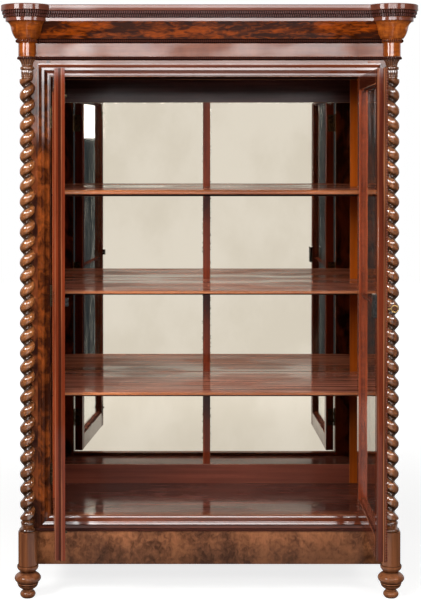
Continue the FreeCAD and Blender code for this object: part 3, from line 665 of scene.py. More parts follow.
def cut_lip_corner(shape):
    """Chamfer the front corner of the lip, where a string of beads will lie."""
    closed = turn_of["right_door"].inverted()
    corner = []
    for edge in shape.edges:
        low, high = (closed @ vert.co for vert in edge.verts)
        near = all(abs(end.x - lip_edge) < lip_reach and abs(end.y) < lip_reach for end in (low, high))
        if near and abs(low.z - high.z) > lip_rise:
            corner.append(edge)
    bmesh.ops.bevel(
        shape, geom=corner, offset=lip_chamfer, offset_type="OFFSET", segments=1, affect="EDGES",
    )
    print("lip corner edges", len(corner))


def sort_by_place(shape):
    """A bevel may list its faces in another order on each run, so they are sorted by their centres."""
    in_order = sorted(shape.faces, key=lambda face: tuple(face.calc_center_median()))
    for index, face in enumerate(in_order):
        face.index = index
    shape.faces.sort()


def ease(name, radius):
    mesh = nodes[name].data.copy()
    shape = bmesh.new()
    shape.from_mesh(mesh)
    bmesh.ops.remove_doubles(shape, verts=shape.verts, dist=weld)
    bmesh.ops.dissolve_limit(
        shape, angle_limit=flat, verts=shape.verts, edges=shape.edges, use_dissolve_boundaries=False,
    )
    wear_and_highlight = shape.faces.layers.float.new("wear_and_highlight")
    if name == "right_door_meeting_stile":
        cut_lip_corner(shape)
    chosen = [
        edge for edge in shape.edges
        if len(edge.link_faces) == 2 and edge.calc_face_angle(0.0) > sharp
        and edge.calc_length() > shortest_edge
    ]
    rounded = bmesh.ops.bevel(
        shape, geom=chosen, offset=radius, offset_type="OFFSET", segments=3, profile=0.5, affect="EDGES",
        clamp_overlap=True,
    )
    for face in shape.faces:
        face.smooth = False
    # The rounded faces are marked to be painted paler: partly wear, partly a painted highlight.
    for face in rounded["faces"]:
        face[wear_and_highlight] = 1.0
        face.smooth = True
    sort_by_place(shape)
    shape.to_mesh(mesh)
    shape.free()
    add_piece(f"{name}_eased", mesh, body_of[name], slot_of[name], name)


EASED = {
    0.0012: [
        "left_corner_post", "right_corner_post", "head_rail", "sill_rail", "door_stop", "left_side",
        "right_side", "shelf_cleats", "back_frame", "plinth_sides", "plinth_front", "frieze",
    ],
    0.0045: shelves,
    0.0042: [
        "left_door_hinge_stile", "left_door_meeting_stile",
        "right_door_hinge_stile", "right_door_meeting_stile",
    ],
    0.0022: ["left_door_rails", "right_door_rails"],
    0.0009: ["left_door_glazing_bars", "right_door_glazing_bars"],
}
for radius, names in EASED.items():
    for name in names:
        ease(name, radius)

# %% [markdown]
# ## Faces with another finish
# Some boards aren't finished alike all over. The faces could be cut into pieces of their own, but a
# second material on the same mesh keeps the board whole. A test of its normal and its centre picks each
# face.


# %% Refinish chosen faces
def refinish(name, choices):
    mesh = bpy.data.objects[f"{name}_eased"].data
    for material, suits in choices:
        mesh.materials.append(material)
        for polygon in mesh.polygons:
            if suits(polygon.normal, polygon.center):
                polygon.material_index = len(mesh.materials) - 1
    print(name, "refinished faces", sum(polygon.material_index > 0 for polygon in mesh.polygons))


# %% [markdown]
# The rounded noses of the shelves are given a paler, more orange wood and a softer gloss, and the paler
# colour is partly a painted highlight. Below, where the nose turns under, they are painted black:
# painted shade.

# %% Edges of the shelves
facing_front, facing_down = -0.3, -0.15


def on_nose(normal, centre):
    return normal.y < facing_front


def under_nose(normal, centre):
    return normal.y < facing_front and normal.z < facing_down


for name in shelves:
    refinish(name, [(shelf_edge_with_highlight, on_nose), (painted_shade_wood, under_nose)])

# %% [markdown]
# The left post is painted black where it faces the opening, behind the door: painted shade. On the back
# frame the side uprights are painted light, as if lit by the lamps through the opening: painted light.
# The middle upright is red like the doors, and the low rail is red too. Its top rail keeps the dark
# finish.

# %% Left post and back frame
opening_edge, facing_opening = -0.5895, 0.9
side_upright_x, middle_upright_x = 0.575, 0.030
low_rail_top, top_rail_bottom = 0.38, 1.85


def in_opening(normal, centre):
    return normal.x > facing_opening and centre.x > opening_edge


def on_side_upright(normal, centre):
    return abs(centre.x) > side_upright_x


def on_middle_upright(normal, centre):
    return abs(centre.x) < middle_upright_x and low_rail_top < centre.z < top_rail_bottom


def on_low_rail(normal, centre):
    return abs(centre.x) <= side_upright_x and centre.z < low_rail_top


refinish("left_corner_post", [(painted_shade_wood, in_opening)])
# Side uprights painted light, as if lit by the lamps through the opening.
refinish("back_frame", [
    (painted_lit_back_wood, on_side_upright), (stile_wood, on_middle_upright), (low_back_wood, on_low_rail),
])

# %% [markdown]
# ## Geometry Nodes: a run from a tree to a plain mesh
# Each tree below is built in the script, put on an object as a modifier, given its sizes, evaluated once
# and turned into a plain mesh. The inputs are set by the identifiers that the tree gives to its sockets.
# Every tree ends alike: what is repeated becomes real, round things are shaded smooth, and the material
# is set.


# %% Run a geometry tree
def run_tree(name, start, tree, sizes, body, slot, *stands_for):
    source = bpy.data.objects.new(f"{name}_source", start)
    bpy.context.scene.collection.objects.link(source)
    modifier = source.modifiers.new("tree", "NODES")
    modifier.node_group = tree
    identifiers = {
        item.name: item.identifier for item in tree.interface.items_tree
        if item.item_type == "SOCKET" and item.in_out == "INPUT"
    }
    for label, value in sizes.items():
        modifier[identifiers[label]] = value
    bpy.context.view_layer.update()
    evaluated = source.evaluated_get(bpy.context.evaluated_depsgraph_get())
    mesh = bpy.data.meshes.new_from_object(evaluated)
    source.modifiers.remove(modifier)
    bpy.data.objects.remove(source)
    add_piece(name, mesh, body, slot, *stands_for)


def finish_tree(tree, geometry, material, result, smooth):
    plain = put(tree, "GeometryNodeRealizeInstances", {"Geometry": geometry}).outputs[0]
    if smooth:
        plain = put(tree, "GeometryNodeSetShadeSmooth", {"Geometry": plain}).outputs[0]
    painted = put(tree, "GeometryNodeSetMaterial", {"Geometry": plain, "Material": material})
    tree.links.new(painted.outputs[0], result["Geometry"])


# %% [markdown]
# ## The twisted columns
# A barley twist is a round bar whose centre walks round the axis as it climbs. A Screw modifier could
# sweep a circle, but the strand of this one is fuller than a moved circle. So it follows a rule of its
# own: the distance from the axis is greatest on the ridge, least in the groove, and a little more than a
# circle's between the two. A flat grid has one direction round the bar and one for the climb, and the
# tree moves each of its points by that rule. The turned base and head of the column come in as the
# modifier's own mesh.


# %% Twist tree
def make_twist_tree():
    sizes = (
        "Radius", "Offset", "Fullness", "Turns", "Start", "Bottom", "Height", "Axis X", "Axis Y", "Hand",
    )
    tree, given, result = new_group(
        "Barley twist", "GeometryNodeTree",
        {"Geometry": GEOMETRY, **{size: FLOAT for size in sizes}, "Material": MATERIAL},
        {"Geometry": GEOMETRY},
    )
    grid = put(tree, "GeometryNodeMeshGrid", {
        "Size X": 1.0, "Size Y": 1.0, "Vertices X": 65, "Vertices Y": 720,
    })
    place = axes(tree, tree.nodes.new("GeometryNodeInputPosition").outputs[0])
    climb = math_node(tree, "ADD", place["Y"], 0.5)
    ring = math_node(tree, "MULTIPLY", place["X"], math.tau)
    turns = math_node(tree, "ADD", math_node(tree, "MULTIPLY", climb, given["Turns"]), given["Start"])
    angle = math_node(tree, "ADD", ring, math_node(tree, "MULTIPLY", turns, math.tau))
    ridge = math_node(tree, "COSINE", ring)
    swell = math_node(tree, "MULTIPLY", ridge, given["Offset"])
    twice = math_node(tree, "COSINE", math_node(tree, "MULTIPLY", ring, 2.0))
    fuller = math_node(tree, "MULTIPLY", math_node(tree, "SUBTRACT", 1.0, twice), given["Fullness"])
    reach = math_node(tree, "ADD", given["Radius"], math_node(tree, "ADD", swell, fuller))
    sideways = math_node(tree, "MULTIPLY", math_node(tree, "COSINE", angle), given["Hand"])
    forward = math_node(tree, "SINE", angle)
    spot = put(tree, "ShaderNodeCombineXYZ", {
        "X": math_node(tree, "ADD", math_node(tree, "MULTIPLY", sideways, reach), given["Axis X"]),
        "Y": math_node(tree, "ADD", math_node(tree, "MULTIPLY", forward, reach), given["Axis Y"]),
        "Z": math_node(tree, "ADD", math_node(tree, "MULTIPLY", climb, given["Height"]), given["Bottom"]),
    })
    # The grooves between the coils are marked to be painted darker: grime and painted shade.
    marked = put(tree, "GeometryNodeStoreNamedAttribute", {
        "Geometry": grid.outputs["Mesh"], "Name": "hollow", "Value": spread(tree, ridge, 0.25, -0.75),
    }, data_type="FLOAT", domain="POINT")
    bar = put(tree, "GeometryNodeSetPosition", {"Geometry": marked.outputs[0], "Position": spot.outputs[0]})
    closed = put(tree, "GeometryNodeMergeByDistance", {"Geometry": bar.outputs[0], "Distance": 0.00002})
    both = tree.nodes.new("GeometryNodeJoinGeometry")
    tree.links.new(given["Geometry"], both.inputs[0])
    tree.links.new(closed.outputs[0], both.inputs[0])
    finish_tree(tree, both.outputs[0], given["Material"], result, smooth=True)
    return tree


twist_tree = make_twist_tree()
print("tree", twist_tree.name)

# %% [markdown]
# A turner works from an outline, and so does this lathe. The outline is a stack of sections, each a
# height and three radii: at its bottom, its middle and its top. A fifth number cuts reeds into the
# section, as deep as that share of the radius. The turnings are marked to be painted darker: evenly all
# over where asked, and more in the grooves and joints, which stands for old dark polish and for painted
# shade.

# %% Lathe
reeds, steps_per_section = 14, 8
groove_grime_and_shade, no_bulge = 0.5, 1e-6


def section_outline(sections, bottom):
    """Radius, height, reed depth and joint of each point, with the radius swelling through the middle one."""
    points = []
    z = bottom
    for height, lower, middle, upper, *reed in sections:
        bulge = 2 * middle - (lower + upper) / 2
        straight = abs(middle - (lower + upper) / 2) < no_bulge
        count = 1 if straight else steps_per_section
        for index in range(count + 1):
            share = index / count
            rest = 1 - share
            radius = rest ** 2 * lower + 2 * share * rest * bulge + share * share * upper
            points.append((radius, z + height * share, reed[0] if reed else 0.0, index in (0, count)))
        z += height
    return points


def lathe(shape, points, centre, even_darkening=0.45, joint_grime_and_shade=0.0):
    """Revolve an outline into rings. A reed depth cuts grooves, and darker marks stand for grime and painted
    shade.
    """
    hollow = shape.verts.layers.float.get("hollow") or shape.verts.layers.float.new("hollow")
    segments = 8 * reeds
    rings = []
    for radius, z, reed, joint in points:
        ring = []
        for k in range(segments):
            angle = math.tau * k / segments
            groove = 1 - abs(math.cos(reeds * angle / 2))
            reach = radius * (1 - reed * groove)
            x = centre.x + reach * math.cos(angle)
            y = centre.y + reach * math.sin(angle)
            point = shape.verts.new((x, y, z))
            # Reed grooves are painted darker: grime and painted shade.
            in_groove = groove_grime_and_shade * groove if reed else 0.0
            point[hollow] = even_darkening + in_groove + (joint_grime_and_shade if joint else 0.0)
            ring.append(point)
        rings.append(ring)
    skin(shape, rings)


# %% Columns
axis_x, axis_y = 0.676, -0.004
column_bottom, twist_bottom, twist_top = 0.247, 0.293, 1.927
sides = {"left": -1.0, "right": 1.0}
base_sections = (
    (0.012, 0.0280, 0.0315, 0.0280), (0.015, 0.0240, 0.0240, 0.0240),
    (0.010, 0.0240, 0.0258, 0.0240), (0.009, 0.0220, 0.0220, 0.0220),
)
head_sections = (
    (0.009, 0.0210, 0.0210, 0.0210), (0.006, 0.0210, 0.0230, 0.0210),
    (0.020, 0.0215, 0.0225, 0.0215, 0.12), (0.011, 0.0240, 0.0258, 0.0240),
    (0.004, 0.0200, 0.0200, 0.0200), (0.024, 0.0205, 0.0235, 0.0315, 0.14),
    (0.010, 0.0340, 0.0340, 0.0340),
)
for label, side in sides.items():
    turnings = bmesh.new()
    centre = Vector((side * axis_x, axis_y))
    lathe(turnings, section_outline(base_sections, column_bottom), centre)
    lathe(turnings, section_outline(head_sections, twist_top), centre)
    run_tree(
        f"{label}_twisted_column", as_mesh(turnings, "column_turnings"), twist_tree,
        {
            "Radius": 0.0209, "Offset": 0.0075, "Fullness": 0.0014, "Turns": 29.07, "Start": 0.54,
            "Bottom": twist_bottom, "Height": twist_top - twist_bottom, "Axis X": side * axis_x,
            "Axis Y": axis_y, "Hand": -side, "Material": twist_wood,
        },
        "case", slot_of[f"{label}_column"], f"{label}_column",
    )

# %% [markdown]
# ## Turned feet
# The same lathe turns the front feet, from the floor up: a ball, a neck, a cup under a thin ring, a wide
# ball and a spreading ring under the drum. The joints between them are painted dark, which stands for
# old polish and for painted shade in the grooves.

# %% Front feet
foot_sections = (
    (0.0265, 0.0200, 0.0286, 0.0205), (0.0057, 0.0195, 0.0190, 0.0195), (0.0161, 0.0206, 0.0325, 0.0372),
    (0.0028, 0.0335, 0.0335, 0.0335), (0.0047, 0.0378, 0.0394, 0.0378), (0.0406, 0.0360, 0.0488, 0.0260),
    (0.0256, 0.0250, 0.0380, 0.0385),
)
for label, side in sides.items():
    foot = bmesh.new()
    centre = Vector((side * axis_x, axis_y))
    lathe(foot, section_outline(foot_sections, 0.0), centre, even_darkening=0.0, joint_grime_and_shade=0.8)
    name = f"{label}_turned_foot"
    node = f"{label}_front_foot"
    add_piece(name, as_mesh(foot, name, foot_wood, sharp_degrees=40.0), "case", slot_of[node], node)

# %% [markdown]
# ## Mouldings round the opening
# Four mouldings frame the doors, mitred at the corners. Their section, in millimetres, has a narrow flat
# bead at the inner edge, a hollow, a broad flattened roll that throws back the light of the studio, and a
# cove at the outside. The bottom one is tilted to the light. A swept curve would need its corners cut, so
# each section is drawn twice instead, once on the mitre at each end, and skinned between the two.

# %% Surround mouldings
hollow_section = [(6.6, 3.2), (8.0, 3.2), (16.4, 7.4)]
cove_section = [
    (29.8, 10.8), (30.8, 8.6), (32.0, 6.6), (34.0, 4.6), (37.0, 3.4), (41.0, 2.8), (44.8, 2.8), (45.4, 2.2),
    (45.4, 0.0),
]
level_section = [
    (0.0, 0.0), (0.0, 2.6), (0.4, 4.0), (1.2, 4.7), (5.4, 4.7), (6.0, 4.0), *hollow_section,
    (17.4, 8.6), (18.2, 10.8), (19.6, 12.2), (28.4, 12.2), *cove_section,
]
tilted_section = [
    (0.0, 0.0), (0.0, 3.0), (0.3, 3.3), (4.6, 4.9), (5.6, 4.0), *hollow_section,
    (20.6, 9.6), (22.8, 10.2), (28.6, 12.3), *cove_section,
]
inner_x, inner_low, inner_high = 0.5926, 0.302, 1.941
millimetre = 0.001


def mitre(shape, corner, section):
    """The section's points on the mitre at a corner of the opening, which is a side and a level."""
    side, level = corner
    points = []
    for width, rise in section:
        out = width * millimetre
        z = inner_high + out if level == "top" else inner_low - out
        points.append(shape.verts.new((side * (inner_x + out), -rise * millimetre, z)))
    return points


def moulding(node, start, end, material, section=level_section):
    shape = bmesh.new()
    skin(shape, [mitre(shape, start, section), mitre(shape, end, section)])
    bmesh.ops.recalc_face_normals(shape, faces=shape.faces)
    name = f"{node}_moulding"
    add_piece(name, as_mesh(shape, name, material, sharp_degrees=20.0), "case", slot_of[node], node)


moulding("surround_top", (-1.0, "top"), (1.0, "top"), surround_level)
moulding("surround_bottom", (-1.0, "bottom"), (1.0, "bottom"), surround_level, tilted_section)
moulding("surround_left", (-1.0, "bottom"), (-1.0, "top"), surround_upright)
moulding("surround_right", (1.0, "bottom"), (1.0, "top"), surround_upright)

# %% [markdown]
# ## Plan of the cornice
# Slab, fascia, teeth and beads all follow the same plan: along one side, round the corner capital, across
# the front, and back. A level of the cornice is named by the radius of its capital. The straight runs
# stand out by a share of what the capital does.

# %% Plan of a level
neck_radius, frieze_out, straight_share = 0.0323, 0.005, 0.67
half_width, depth = 0.684, 0.580
arc_steps = 60


def plan_runs(radius, z, corner_radius=None, back=depth):
    """One level in plan, as five runs: left side, left corner, front, right corner, right side."""
    out = frieze_out + straight_share * (radius - neck_radius)
    corner = corner_radius or radius
    front_x = axis_x - math.sqrt(corner ** 2 - (out + axis_y) ** 2)
    side_x = half_width + out
    side_y = axis_y + math.sqrt(corner ** 2 - (side_x - axis_x) ** 2)
    first = math.atan2(-out - axis_y, front_x - axis_x)
    last = math.atan2(side_y - axis_y, side_x - axis_x)
    sweep = (last - first) % math.tau
    right_arc = []
    for step in range(arc_steps + 1):
        angle = first + sweep * step / arc_steps
        right_arc.append((axis_x + corner * math.cos(angle), axis_y + corner * math.sin(angle), z))
    right_side = [(side_x, side_y, z), (side_x, back, z)]
    left_arc = [(-x, y, height) for x, y, height in reversed(right_arc)]
    left_side = [(-x, y, height) for x, y, height in reversed(right_side)]
    return [left_side, left_arc, [(-front_x, -out, z), (front_x, -out, z)], right_arc, right_side]


def row_path(radius, z, corner_radius=None):
    """The same level as separate lines, for a row of small pieces."""
    mesh = bpy.data.meshes.new("row_path")
    points = []
    edges = []
    for run in plan_runs(radius, z, corner_radius):
        edges += [(len(points) + k, len(points) + k + 1) for k in range(len(run) - 1)]
        points += run
    mesh.from_pydata(points, edges, [])
    return mesh


# %% [markdown]
# ## Cornice slab and fascia
# The slab on top and the narrow flat fascia below the teeth run round the capitals in true circles. Each
# is a stack of the plan at a few radii and levels, skinned between the levels. The first and last level
# are drawn in a little, which rounds the edges.


# %% Slab and fascia
def stacked(name, levels, back, slot, *stands_for):
    shape = bmesh.new()
    rings = []
    for radius, z in levels:
        points = [point for run in plan_runs(radius, z, back=back) for point in run]
        rings.append([shape.verts.new(point) for point in points])
    skin(shape, rings)
    bmesh.ops.remove_doubles(shape, verts=shape.verts, dist=weld)
    bmesh.ops.recalc_face_normals(shape, faces=shape.faces)
    add_piece(name, as_mesh(shape, name, slab_wood, sharp_degrees=12.0), "case", slot, *stands_for)


slab_overhang = 0.004
slab_levels = [
    (0.0945, 2.1780), (0.0955, 2.1786), (0.0959, 2.1800), (0.0959, 2.1975), (0.0953, 2.1992),
    (0.0940, 2.2000),
]
fascia_levels = [(0.0782, 2.1392), (0.0792, 2.1400), (0.0792, 2.1515), (0.0788, 2.1520)]
stacked("cornice_slab", slab_levels, depth + slab_overhang, slot_of["cornice_top"], "cornice_top")
stacked("cornice_fascia", fascia_levels, depth, slot_of["cornice_moulding"])

# %% [markdown]
# ## Dentils and beads
# Under the slab run two rows of small teeth, and two dark strips below them are cut into beads. Array and
# Curve modifiers could lay them along the path, but they bend what they repeat. This tree sets a small
# shape at each step of the pitch instead, whole, and turns it with the path.


# %% Row tree
def make_row_tree(name, kind, form, smooth):
    tree, given, result = new_group(
        name, "GeometryNodeTree",
        {"Geometry": GEOMETRY, "Pitch": FLOAT, "Size": VECTOR, "Material": MATERIAL}, {"Geometry": GEOMETRY},
    )
    curve = put(tree, "GeometryNodeMeshToCurve", {"Mesh": given["Geometry"]})
    even = put(tree, "GeometryNodeResampleCurve", {
        "Curve": curve.outputs[0], "Length": given["Pitch"],
    }, mode="LENGTH")
    tangent = tree.nodes.new("GeometryNodeInputTangent").outputs[0]
    turn = put(tree, "FunctionNodeAlignRotationToVector", {"Vector": tangent}, axis="X", pivot_axis="Z")
    row = put(tree, "GeometryNodeInstanceOnPoints", {
        "Points": even.outputs[0], "Instance": put(tree, kind, form).outputs["Mesh"],
        "Rotation": turn.outputs[0], "Scale": given["Size"],
    })
    finish_tree(tree, row.outputs[0], given["Material"], result, smooth)
    return tree


cube, ball = {"Size": (1.0, 1.0, 1.0)}, {"Segments": 10, "Rings": 6, "Radius": 0.5}
tooth_tree = make_row_tree("Row of teeth", "GeometryNodeMeshCube", cube, smooth=False)
bead_tree = make_row_tree("Row of beads", "GeometryNodeMeshUVSphere", ball, smooth=True)
print("trees", tooth_tree.name, "and", bead_tree.name)

# %% Lay the rows
tooth_size, tooth_pitch = (0.0043, 0.0080, 0.0094), 0.0083
bead_pitch, strip_radius = 0.0072, 0.0340
teeth = {"Pitch": tooth_pitch, "Size": tooth_size, "Material": tooth_wood}
tall_beads = {"Pitch": bead_pitch, "Size": (0.0068, 0.0068, 0.0110), "Material": dark_wood}
low_beads = {"Pitch": bead_pitch, "Size": (0.0068, 0.0068, 0.0090), "Material": dark_wood}
for name, path, tree, sizes in (
    ("upper_dentils", row_path(0.0878, 2.1712), tooth_tree, teeth),
    ("lower_dentils", row_path(0.0838, 2.1588), tooth_tree, teeth),
    ("upper_beads", row_path(0.0395, 2.068), bead_tree, tall_beads),
    ("lower_beads", row_path(0.0400, 2.0045, strip_radius), bead_tree, low_beads),
):
    run_tree(name, path, tree, sizes, "case", "dark_mahogany")

# %% [markdown]
# ## Screws
# Every hinge leaf, bolt plate and lock is held by slotted screws, nearly level with the metal. One screw
# is modelled: two half discs with a groove between them. A tree puts it on each point, with its
# axis along the direction that is stored there and its slot turned at random, as a joiner leaves it.


# %% One screw
def make_screw():
    shape = bmesh.new()
    radius, groove, rise, sunk_rim, steps = 0.0030, 0.00045, 0.0007, -0.0004, 10
    crown = 0.86 * radius
    for side in (-1.0, 1.0):
        start = math.asin(groove / radius)
        rim = [start + (math.pi - 2 * start) * k / steps for k in range(steps + 1)]
        low = [
            shape.verts.new((radius * math.cos(angle), side * radius * math.sin(angle), sunk_rim))
            for angle in rim
        ]
        high = [
            shape.verts.new((crown * math.cos(angle), side * max(crown * math.sin(angle), groove), rise))
            for angle in rim
        ]
        shape.faces.new(high)
        for k in range(steps):
            shape.faces.new((low[k], low[k + 1], high[k + 1], high[k]))
        shape.faces.new((low[-1], low[0], high[0], high[-1]))
        shape.faces.new(list(reversed(low)))
    bmesh.ops.recalc_face_normals(shape, faces=shape.faces)
    made = bpy.data.objects.new("screw_pattern", as_mesh(shape, "screw"))
    bpy.context.scene.collection.objects.link(made)
    return made


def make_screw_tree():
    tree, given, result = new_group(
        "Screws on points", "GeometryNodeTree",
        {"Geometry": GEOMETRY, "Screw": "NodeSocketObject", "Material": MATERIAL}, {"Geometry": GEOMETRY},
    )
    aim = put(tree, "GeometryNodeInputNamedAttribute", {"Name": "aim"}, data_type="FLOAT_VECTOR")
    turn = put(tree, "FunctionNodeAlignRotationToVector", {"Vector": aim.outputs[0]}, axis="Z")
    slot_turn = put(tree, "FunctionNodeRandomValue", {"Seed": 7}, data_type="FLOAT")
    slot_turn.inputs[3].default_value = math.pi
    spin = put(tree, "ShaderNodeCombineXYZ", {"Z": slot_turn.outputs[1]})
    both = put(tree, "FunctionNodeRotateRotation", {
        "Rotation": turn.outputs[0], "Rotate By": spin.outputs[0],
    }, rotation_space="LOCAL")
    pattern = put(tree, "GeometryNodeObjectInfo", {"Object": given["Screw"]})
    row = put(tree, "GeometryNodeInstanceOnPoints", {
        "Points": given["Geometry"], "Instance": pattern.outputs["Geometry"], "Rotation": both.outputs[0],
    })
    finish_tree(tree, row.outputs[0], given["Material"], result, smooth=False)
    return tree


screw = make_screw()
screw_tree = make_screw_tree()
print("tree", screw_tree.name)

# %% [markdown]
# ## Where the screws go
# The places are written for closed doors, where they are plain numbers, and then swung open with the door
# about its pin. The two leaves of a hinge meet when the door closes, so the screws in them are sunk a
# little.

# %% Places of the screws
door_low, door_high, hinge_from_end = 0.308, 1.935, 0.150
hinge_levels = (door_low + hinge_from_end, (door_low + door_high) / 2, door_high - hinge_from_end)
hinge_pattern = ((-0.026, 0.008), (0.0, 0.018), (0.026, 0.008))
pin_x = joints["right_door_swing"]["pos_m"][0]
leaf_gap, sunk = 0.0003, 0.0005
screw_places = {"case": [], "left_door": [], "right_door": []}
for level in hinge_levels:
    for step, back in hinge_pattern:
        for label, side in sides.items():
            for body, away in (("case", 1.0), (f"{label}_door", -1.0)):
                x = side * (pin_x + away * (leaf_gap + sunk))
                screw_places[body].append(((x, back, level + step), (-away * side, 0.0, 0.0)))

inner_face, plate_rise, lock_rise = 0.034, 0.0014, 0.012
plate_x, plate_levels, plate_step = -0.025, (1.853, 0.390), 0.030
keeper_x, keeper_levels = -0.021, (1.1545, 1.1715)
lock_xs, lock_levels = (0.0085, 0.0415), (1.1195, 1.1825)
backward = (0.0, 1.0, 0.0)
for level in plate_levels:
    for step in (-plate_step, plate_step):
        screw_places["left_door"].append(((plate_x, inner_face + plate_rise, level + step), backward))
for z in keeper_levels:
    screw_places["left_door"].append(((keeper_x, inner_face + lock_rise, z), backward))
for x in lock_xs:
    for z in lock_levels:
        screw_places["right_door"].append(((x, inner_face + lock_rise, z), backward))
print("screws", {body: len(places) for body, places in screw_places.items()})

# %% Drive the screws
for body, places in screw_places.items():
    points = bpy.data.meshes.new(f"{body}_screw_points")
    points.from_pydata([turn_of[body] @ Vector(place) for place, aim in places], [], [])
    aims = points.attributes.new("aim", "FLOAT_VECTOR", "POINT")
    for index, (place, aim) in enumerate(places):
        aims.data[index].vector = turn_of[body].to_3x3() @ Vector(aim)
    run_tree(f"{body}_screws", points, screw_tree, {"Screw": screw, "Material": dull_brass}, body, "brass")
bpy.data.objects.remove(screw)

# %% [markdown]
# ## Beads on the meeting edge
# The door that closes last has a lip along its free edge, and a string of small beads covers the lip's
# front corner. The row is laid for the closed door and swung open with it, like the screws, by the tree
# that made the beads of the cornice.

# %% Meeting beads
bead_x, bead_y, bead_size, bead_inset = -0.0050, 0.0034, 0.0080, 0.006
bead_ends = [Vector((bead_x, bead_y, z)) for z in (door_low + bead_inset, door_high - bead_inset)]
bead_line = bpy.data.meshes.new("bead_line")
bead_line.from_pydata([turn_of["right_door"] @ end for end in bead_ends], [(0, 1)], [])
run_tree(
    "meeting_beads", bead_line, bead_tree,
    {"Pitch": 0.0086, "Size": (bead_size, bead_size, bead_size), "Material": right_stile_wood},
    "right_door", "door_mahogany",
)

# %% [markdown]
# ## Bands on the free edges
# The free edge of each door is stepped. The steps are painted dark, a painted shadow of the step, and the
# corners beside them are painted pale, a painted highlight on the arris. A painted mask would need its own
# map, so the edge is cut into bands, and the bands are marked for the finish. The distances count from the
# closed door's front.

# %% Bands on the free edges
facing_sideways = 0.3


def mark_bands(name, body, bands):
    """Each band is two distances from the front, the mark it gets, and how strong the mark is."""
    mesh = bpy.data.objects[name].data
    shape = bmesh.new()
    shape.from_mesh(mesh)
    closed = turn_of[body].inverted()
    across = turn_of[body].to_3x3() @ Vector((0.0, 1.0, 0.0))
    for cut in sorted({edge for low, high, layer, value in bands for edge in (low, high)}):
        whole = shape.verts[:] + shape.edges[:] + shape.faces[:]
        place = turn_of[body] @ Vector((0.0, cut, 0.0))
        bmesh.ops.bisect_plane(shape, geom=whole, plane_co=place, plane_no=across)
    for layer in ("hollow", "wear_and_highlight"):
        if shape.faces.layers.float.get(layer) is None:
            shape.faces.layers.float.new(layer)
    marked = 0
    for face in shape.faces:
        middle = closed @ face.calc_center_median()
        facing = closed.to_3x3() @ face.normal
        for low, high, layer, value in bands:
            if low < middle.y < high and abs(facing.x) > facing_sideways:
                face[shape.faces.layers.float[layer]] = value
                marked += 1
    shape.to_mesh(mesh)
    shape.free()
    print(name, "marked faces", marked)


# Dark bands are painted shadow of the steps, and pale bands are painted highlight on the arrises.
mark_bands("left_door_meeting_stile_eased", "left_door", [
    (0.0000, 0.0040, "wear_and_highlight", 0.6), (0.0125, 0.0210, "hollow", 0.75), (0.0210, 0.0250, "wear_and_highlight", 0.6),
])
mark_bands("right_door_meeting_stile_eased", "right_door", [
    (0.0060, 0.0110, "hollow", 0.6), (0.0280, 0.0340, "wear_and_highlight", 0.5),
])

# %% [markdown]
# ## Floor and world
# The case stands on a pale studio floor in front of white. The white is seen where the camera, a gloss or
# a pane looks at it. As light on the wood it is nearly off, so that the lamps shape the case. A
# reflection that looks forward finds white only in a band, because the studio beside the camera is dark.
# On the floor the band is laid out from where the mirrors put the camera, as far behind them as it stands
# in front.


# %% Floor and world
def seen_directly(tree, path):
    """One where the camera, a gloss or a pane looks, and zero where light only spreads."""
    bounced = math_node(tree, "MAXIMUM", path["Is Glossy Ray"], path["Is Transmission Ray"])
    return math_node(tree, "MAXIMUM", path["Is Camera Ray"], bounced)


def white_band(tree, slope, left, right, beyond_right):
    """One between two soft edges, each given as two slopes; zero on the left of it."""
    rising = spread(tree, slope, *left)
    return math_node(tree, "MULTIPLY", rising, spread(tree, slope, *right, 1.0, beyond_right))


def make_floor():
    mesh = bpy.data.meshes.new("studio_floor")
    half, front = 12.0, -4.2
    corners = [(-half, front, 0.0), (half, front, 0.0), (half, half, 0.0), (-half, half, 0.0)]
    mesh.from_pydata(corners, [], [(0, 1, 2, 3)])
    floor = bpy.data.objects.new("studio_floor", mesh)
    bpy.context.scene.collection.objects.link(floor)
    material, tree, place = new_material("studio floor")
    path = tree.nodes.new("ShaderNodeLightPath").outputs
    pale, dim = (0.40, 0.395, 0.385, 1.0), (0.12, 0.117, 0.112, 1.0)
    colour = blend_colours(tree, path["Is Camera Ray"], dim, pale)
    base = put(tree, "ShaderNodeBsdfDiffuse", {"Color": colour})
    reach = put(tree, "ShaderNodeVectorMath", {0: place}, operation="LENGTH").outputs["Value"]
    split = axes(tree, place)
    mirror_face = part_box("left_mirror")[0][1]
    eye_in_mirror = 2 * mirror_face - eye.y
    aside = math_node(tree, "SUBTRACT", split["X"], eye.x)
    slope = math_node(tree, "DIVIDE", aside, math_node(tree, "SUBTRACT", eye_in_mirror, split["Y"]))
    sheet = white_band(tree, slope, (-0.0770, -0.0755), (0.110, 0.113), 0.05)
    sheet = math_node(tree, "MAXIMUM", sheet, path["Is Camera Ray"])
    level = math_node(tree, "MULTIPLY", spread(tree, reach, 1.2, 4.0, 0.80, 1.0), sheet)
    strength = math_node(tree, "MULTIPLY", seen_directly(tree, path), level)
    glow = put(tree, "ShaderNodeEmission", {"Color": (1.0, 1.0, 1.0, 1.0), "Strength": strength})
    both = put(tree, "ShaderNodeAddShader", {0: base.outputs[0], 1: glow.outputs[0]})
    put(tree, "ShaderNodeOutputMaterial", {"Surface": both.outputs[0]})
    mesh.materials.append(material)


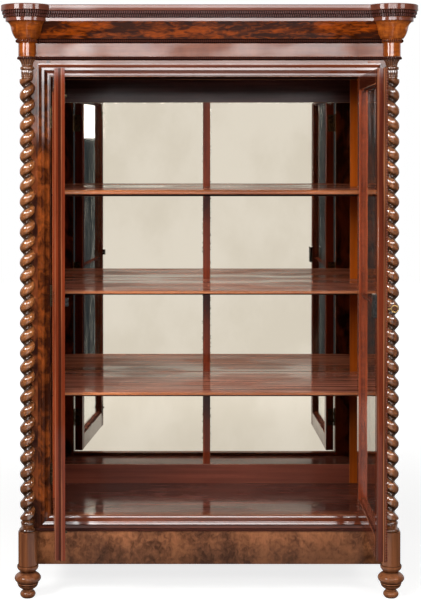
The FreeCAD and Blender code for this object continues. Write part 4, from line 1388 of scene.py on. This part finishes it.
def make_world(ambient):
    world = bpy.data.worlds.new("studio")
    bpy.context.scene.world = world
    world.use_nodes = True
    tree = world.node_tree
    tree.nodes.clear()
    path = tree.nodes.new("ShaderNodeLightPath").outputs
    looking = axes(tree, tree.nodes.new("ShaderNodeTexCoord").outputs["Generated"])
    slope = math_node(tree, "DIVIDE", looking["X"], math_node(tree, "ABSOLUTE", looking["Y"]))
    sheet = white_band(tree, slope, (-0.063, -0.059), (0.096, 0.100), 0.0)
    panel = math_node(tree, "MAXIMUM", sheet, spread(tree, looking["Y"], 0.1, 0.4))
    white, dim = (1.0, 1.0, 1.0, 1.0), (0.030, 0.038, 0.046, 1.0)
    shown = math_node(tree, "MAXIMUM", panel, path["Is Camera Ray"])
    around = blend_colours(tree, shown, dim, white)
    soft = put(tree, "ShaderNodeBackground", {"Color": (1.0, 0.99, 0.97, 1.0), "Strength": ambient})
    studio = put(tree, "ShaderNodeBackground", {"Color": around, "Strength": 1.0})
    either = put(tree, "ShaderNodeMixShader", {
        0: seen_directly(tree, path), 1: soft.outputs[0], 2: studio.outputs[0],
    })
    put(tree, "ShaderNodeOutputWorld", {"Surface": either.outputs[0]})


bpy.context.scene.view_settings.view_transform = "Standard"
make_floor()
make_world(ambient=0.10)

# %% [markdown]
# ## Lamps
# A wide soft lamp above the camera makes the pale sheen on the frieze and the upper posts. Strips beside
# it draw the highlights down the twists, and a large lamp on each side gives the plain light. A point
# lamp would leave hard shadows and dots of gloss, so all are area lamps. Each is given by its place, the
# point it is turned to, its width and height, and its power in watts.


# %% Lamps
def add_lamp(name, place, target, size, watts):
    data = bpy.data.lights.new(name, "AREA")
    data.shape = "RECTANGLE"
    data.size, data.size_y = size
    data.energy = watts
    lamp = bpy.data.objects.new(name, data)
    lamp.location = place
    lamp.visible_camera = False
    lamp.rotation_euler = (Vector(target) - Vector(place)).to_track_quat("-Z", "Y").to_euler()
    bpy.context.scene.collection.objects.link(lamp)


add_lamp("front lamp", (0.1, -4.5, 2.43), (0.1, 0.0, 1.7), (2.5, 0.58), 66.0)
add_lamp("left strip", (-1.21, -4.5, 2.30), (-0.6, 0.0, 1.7), (0.44, 1.1), 15.0)
add_lamp("left panel", (-0.80, -4.5, 2.30), (-0.6, 0.0, 1.7), (0.18, 1.1), 7.0)
add_lamp("right strip", (1.55, -4.5, 2.30), (0.6, 0.0, 1.7), (0.7, 1.1), 22.0)
add_lamp("left lamp", (-3.1, -2.9, 3.0), (0.2, 0.2, 1.2), (1.5, 1.5), 165.0)
add_lamp("right lamp", (3.1, -3.1, 3.2), (0.0, 0.2, 1.2), (1.4, 1.4), 80.0)
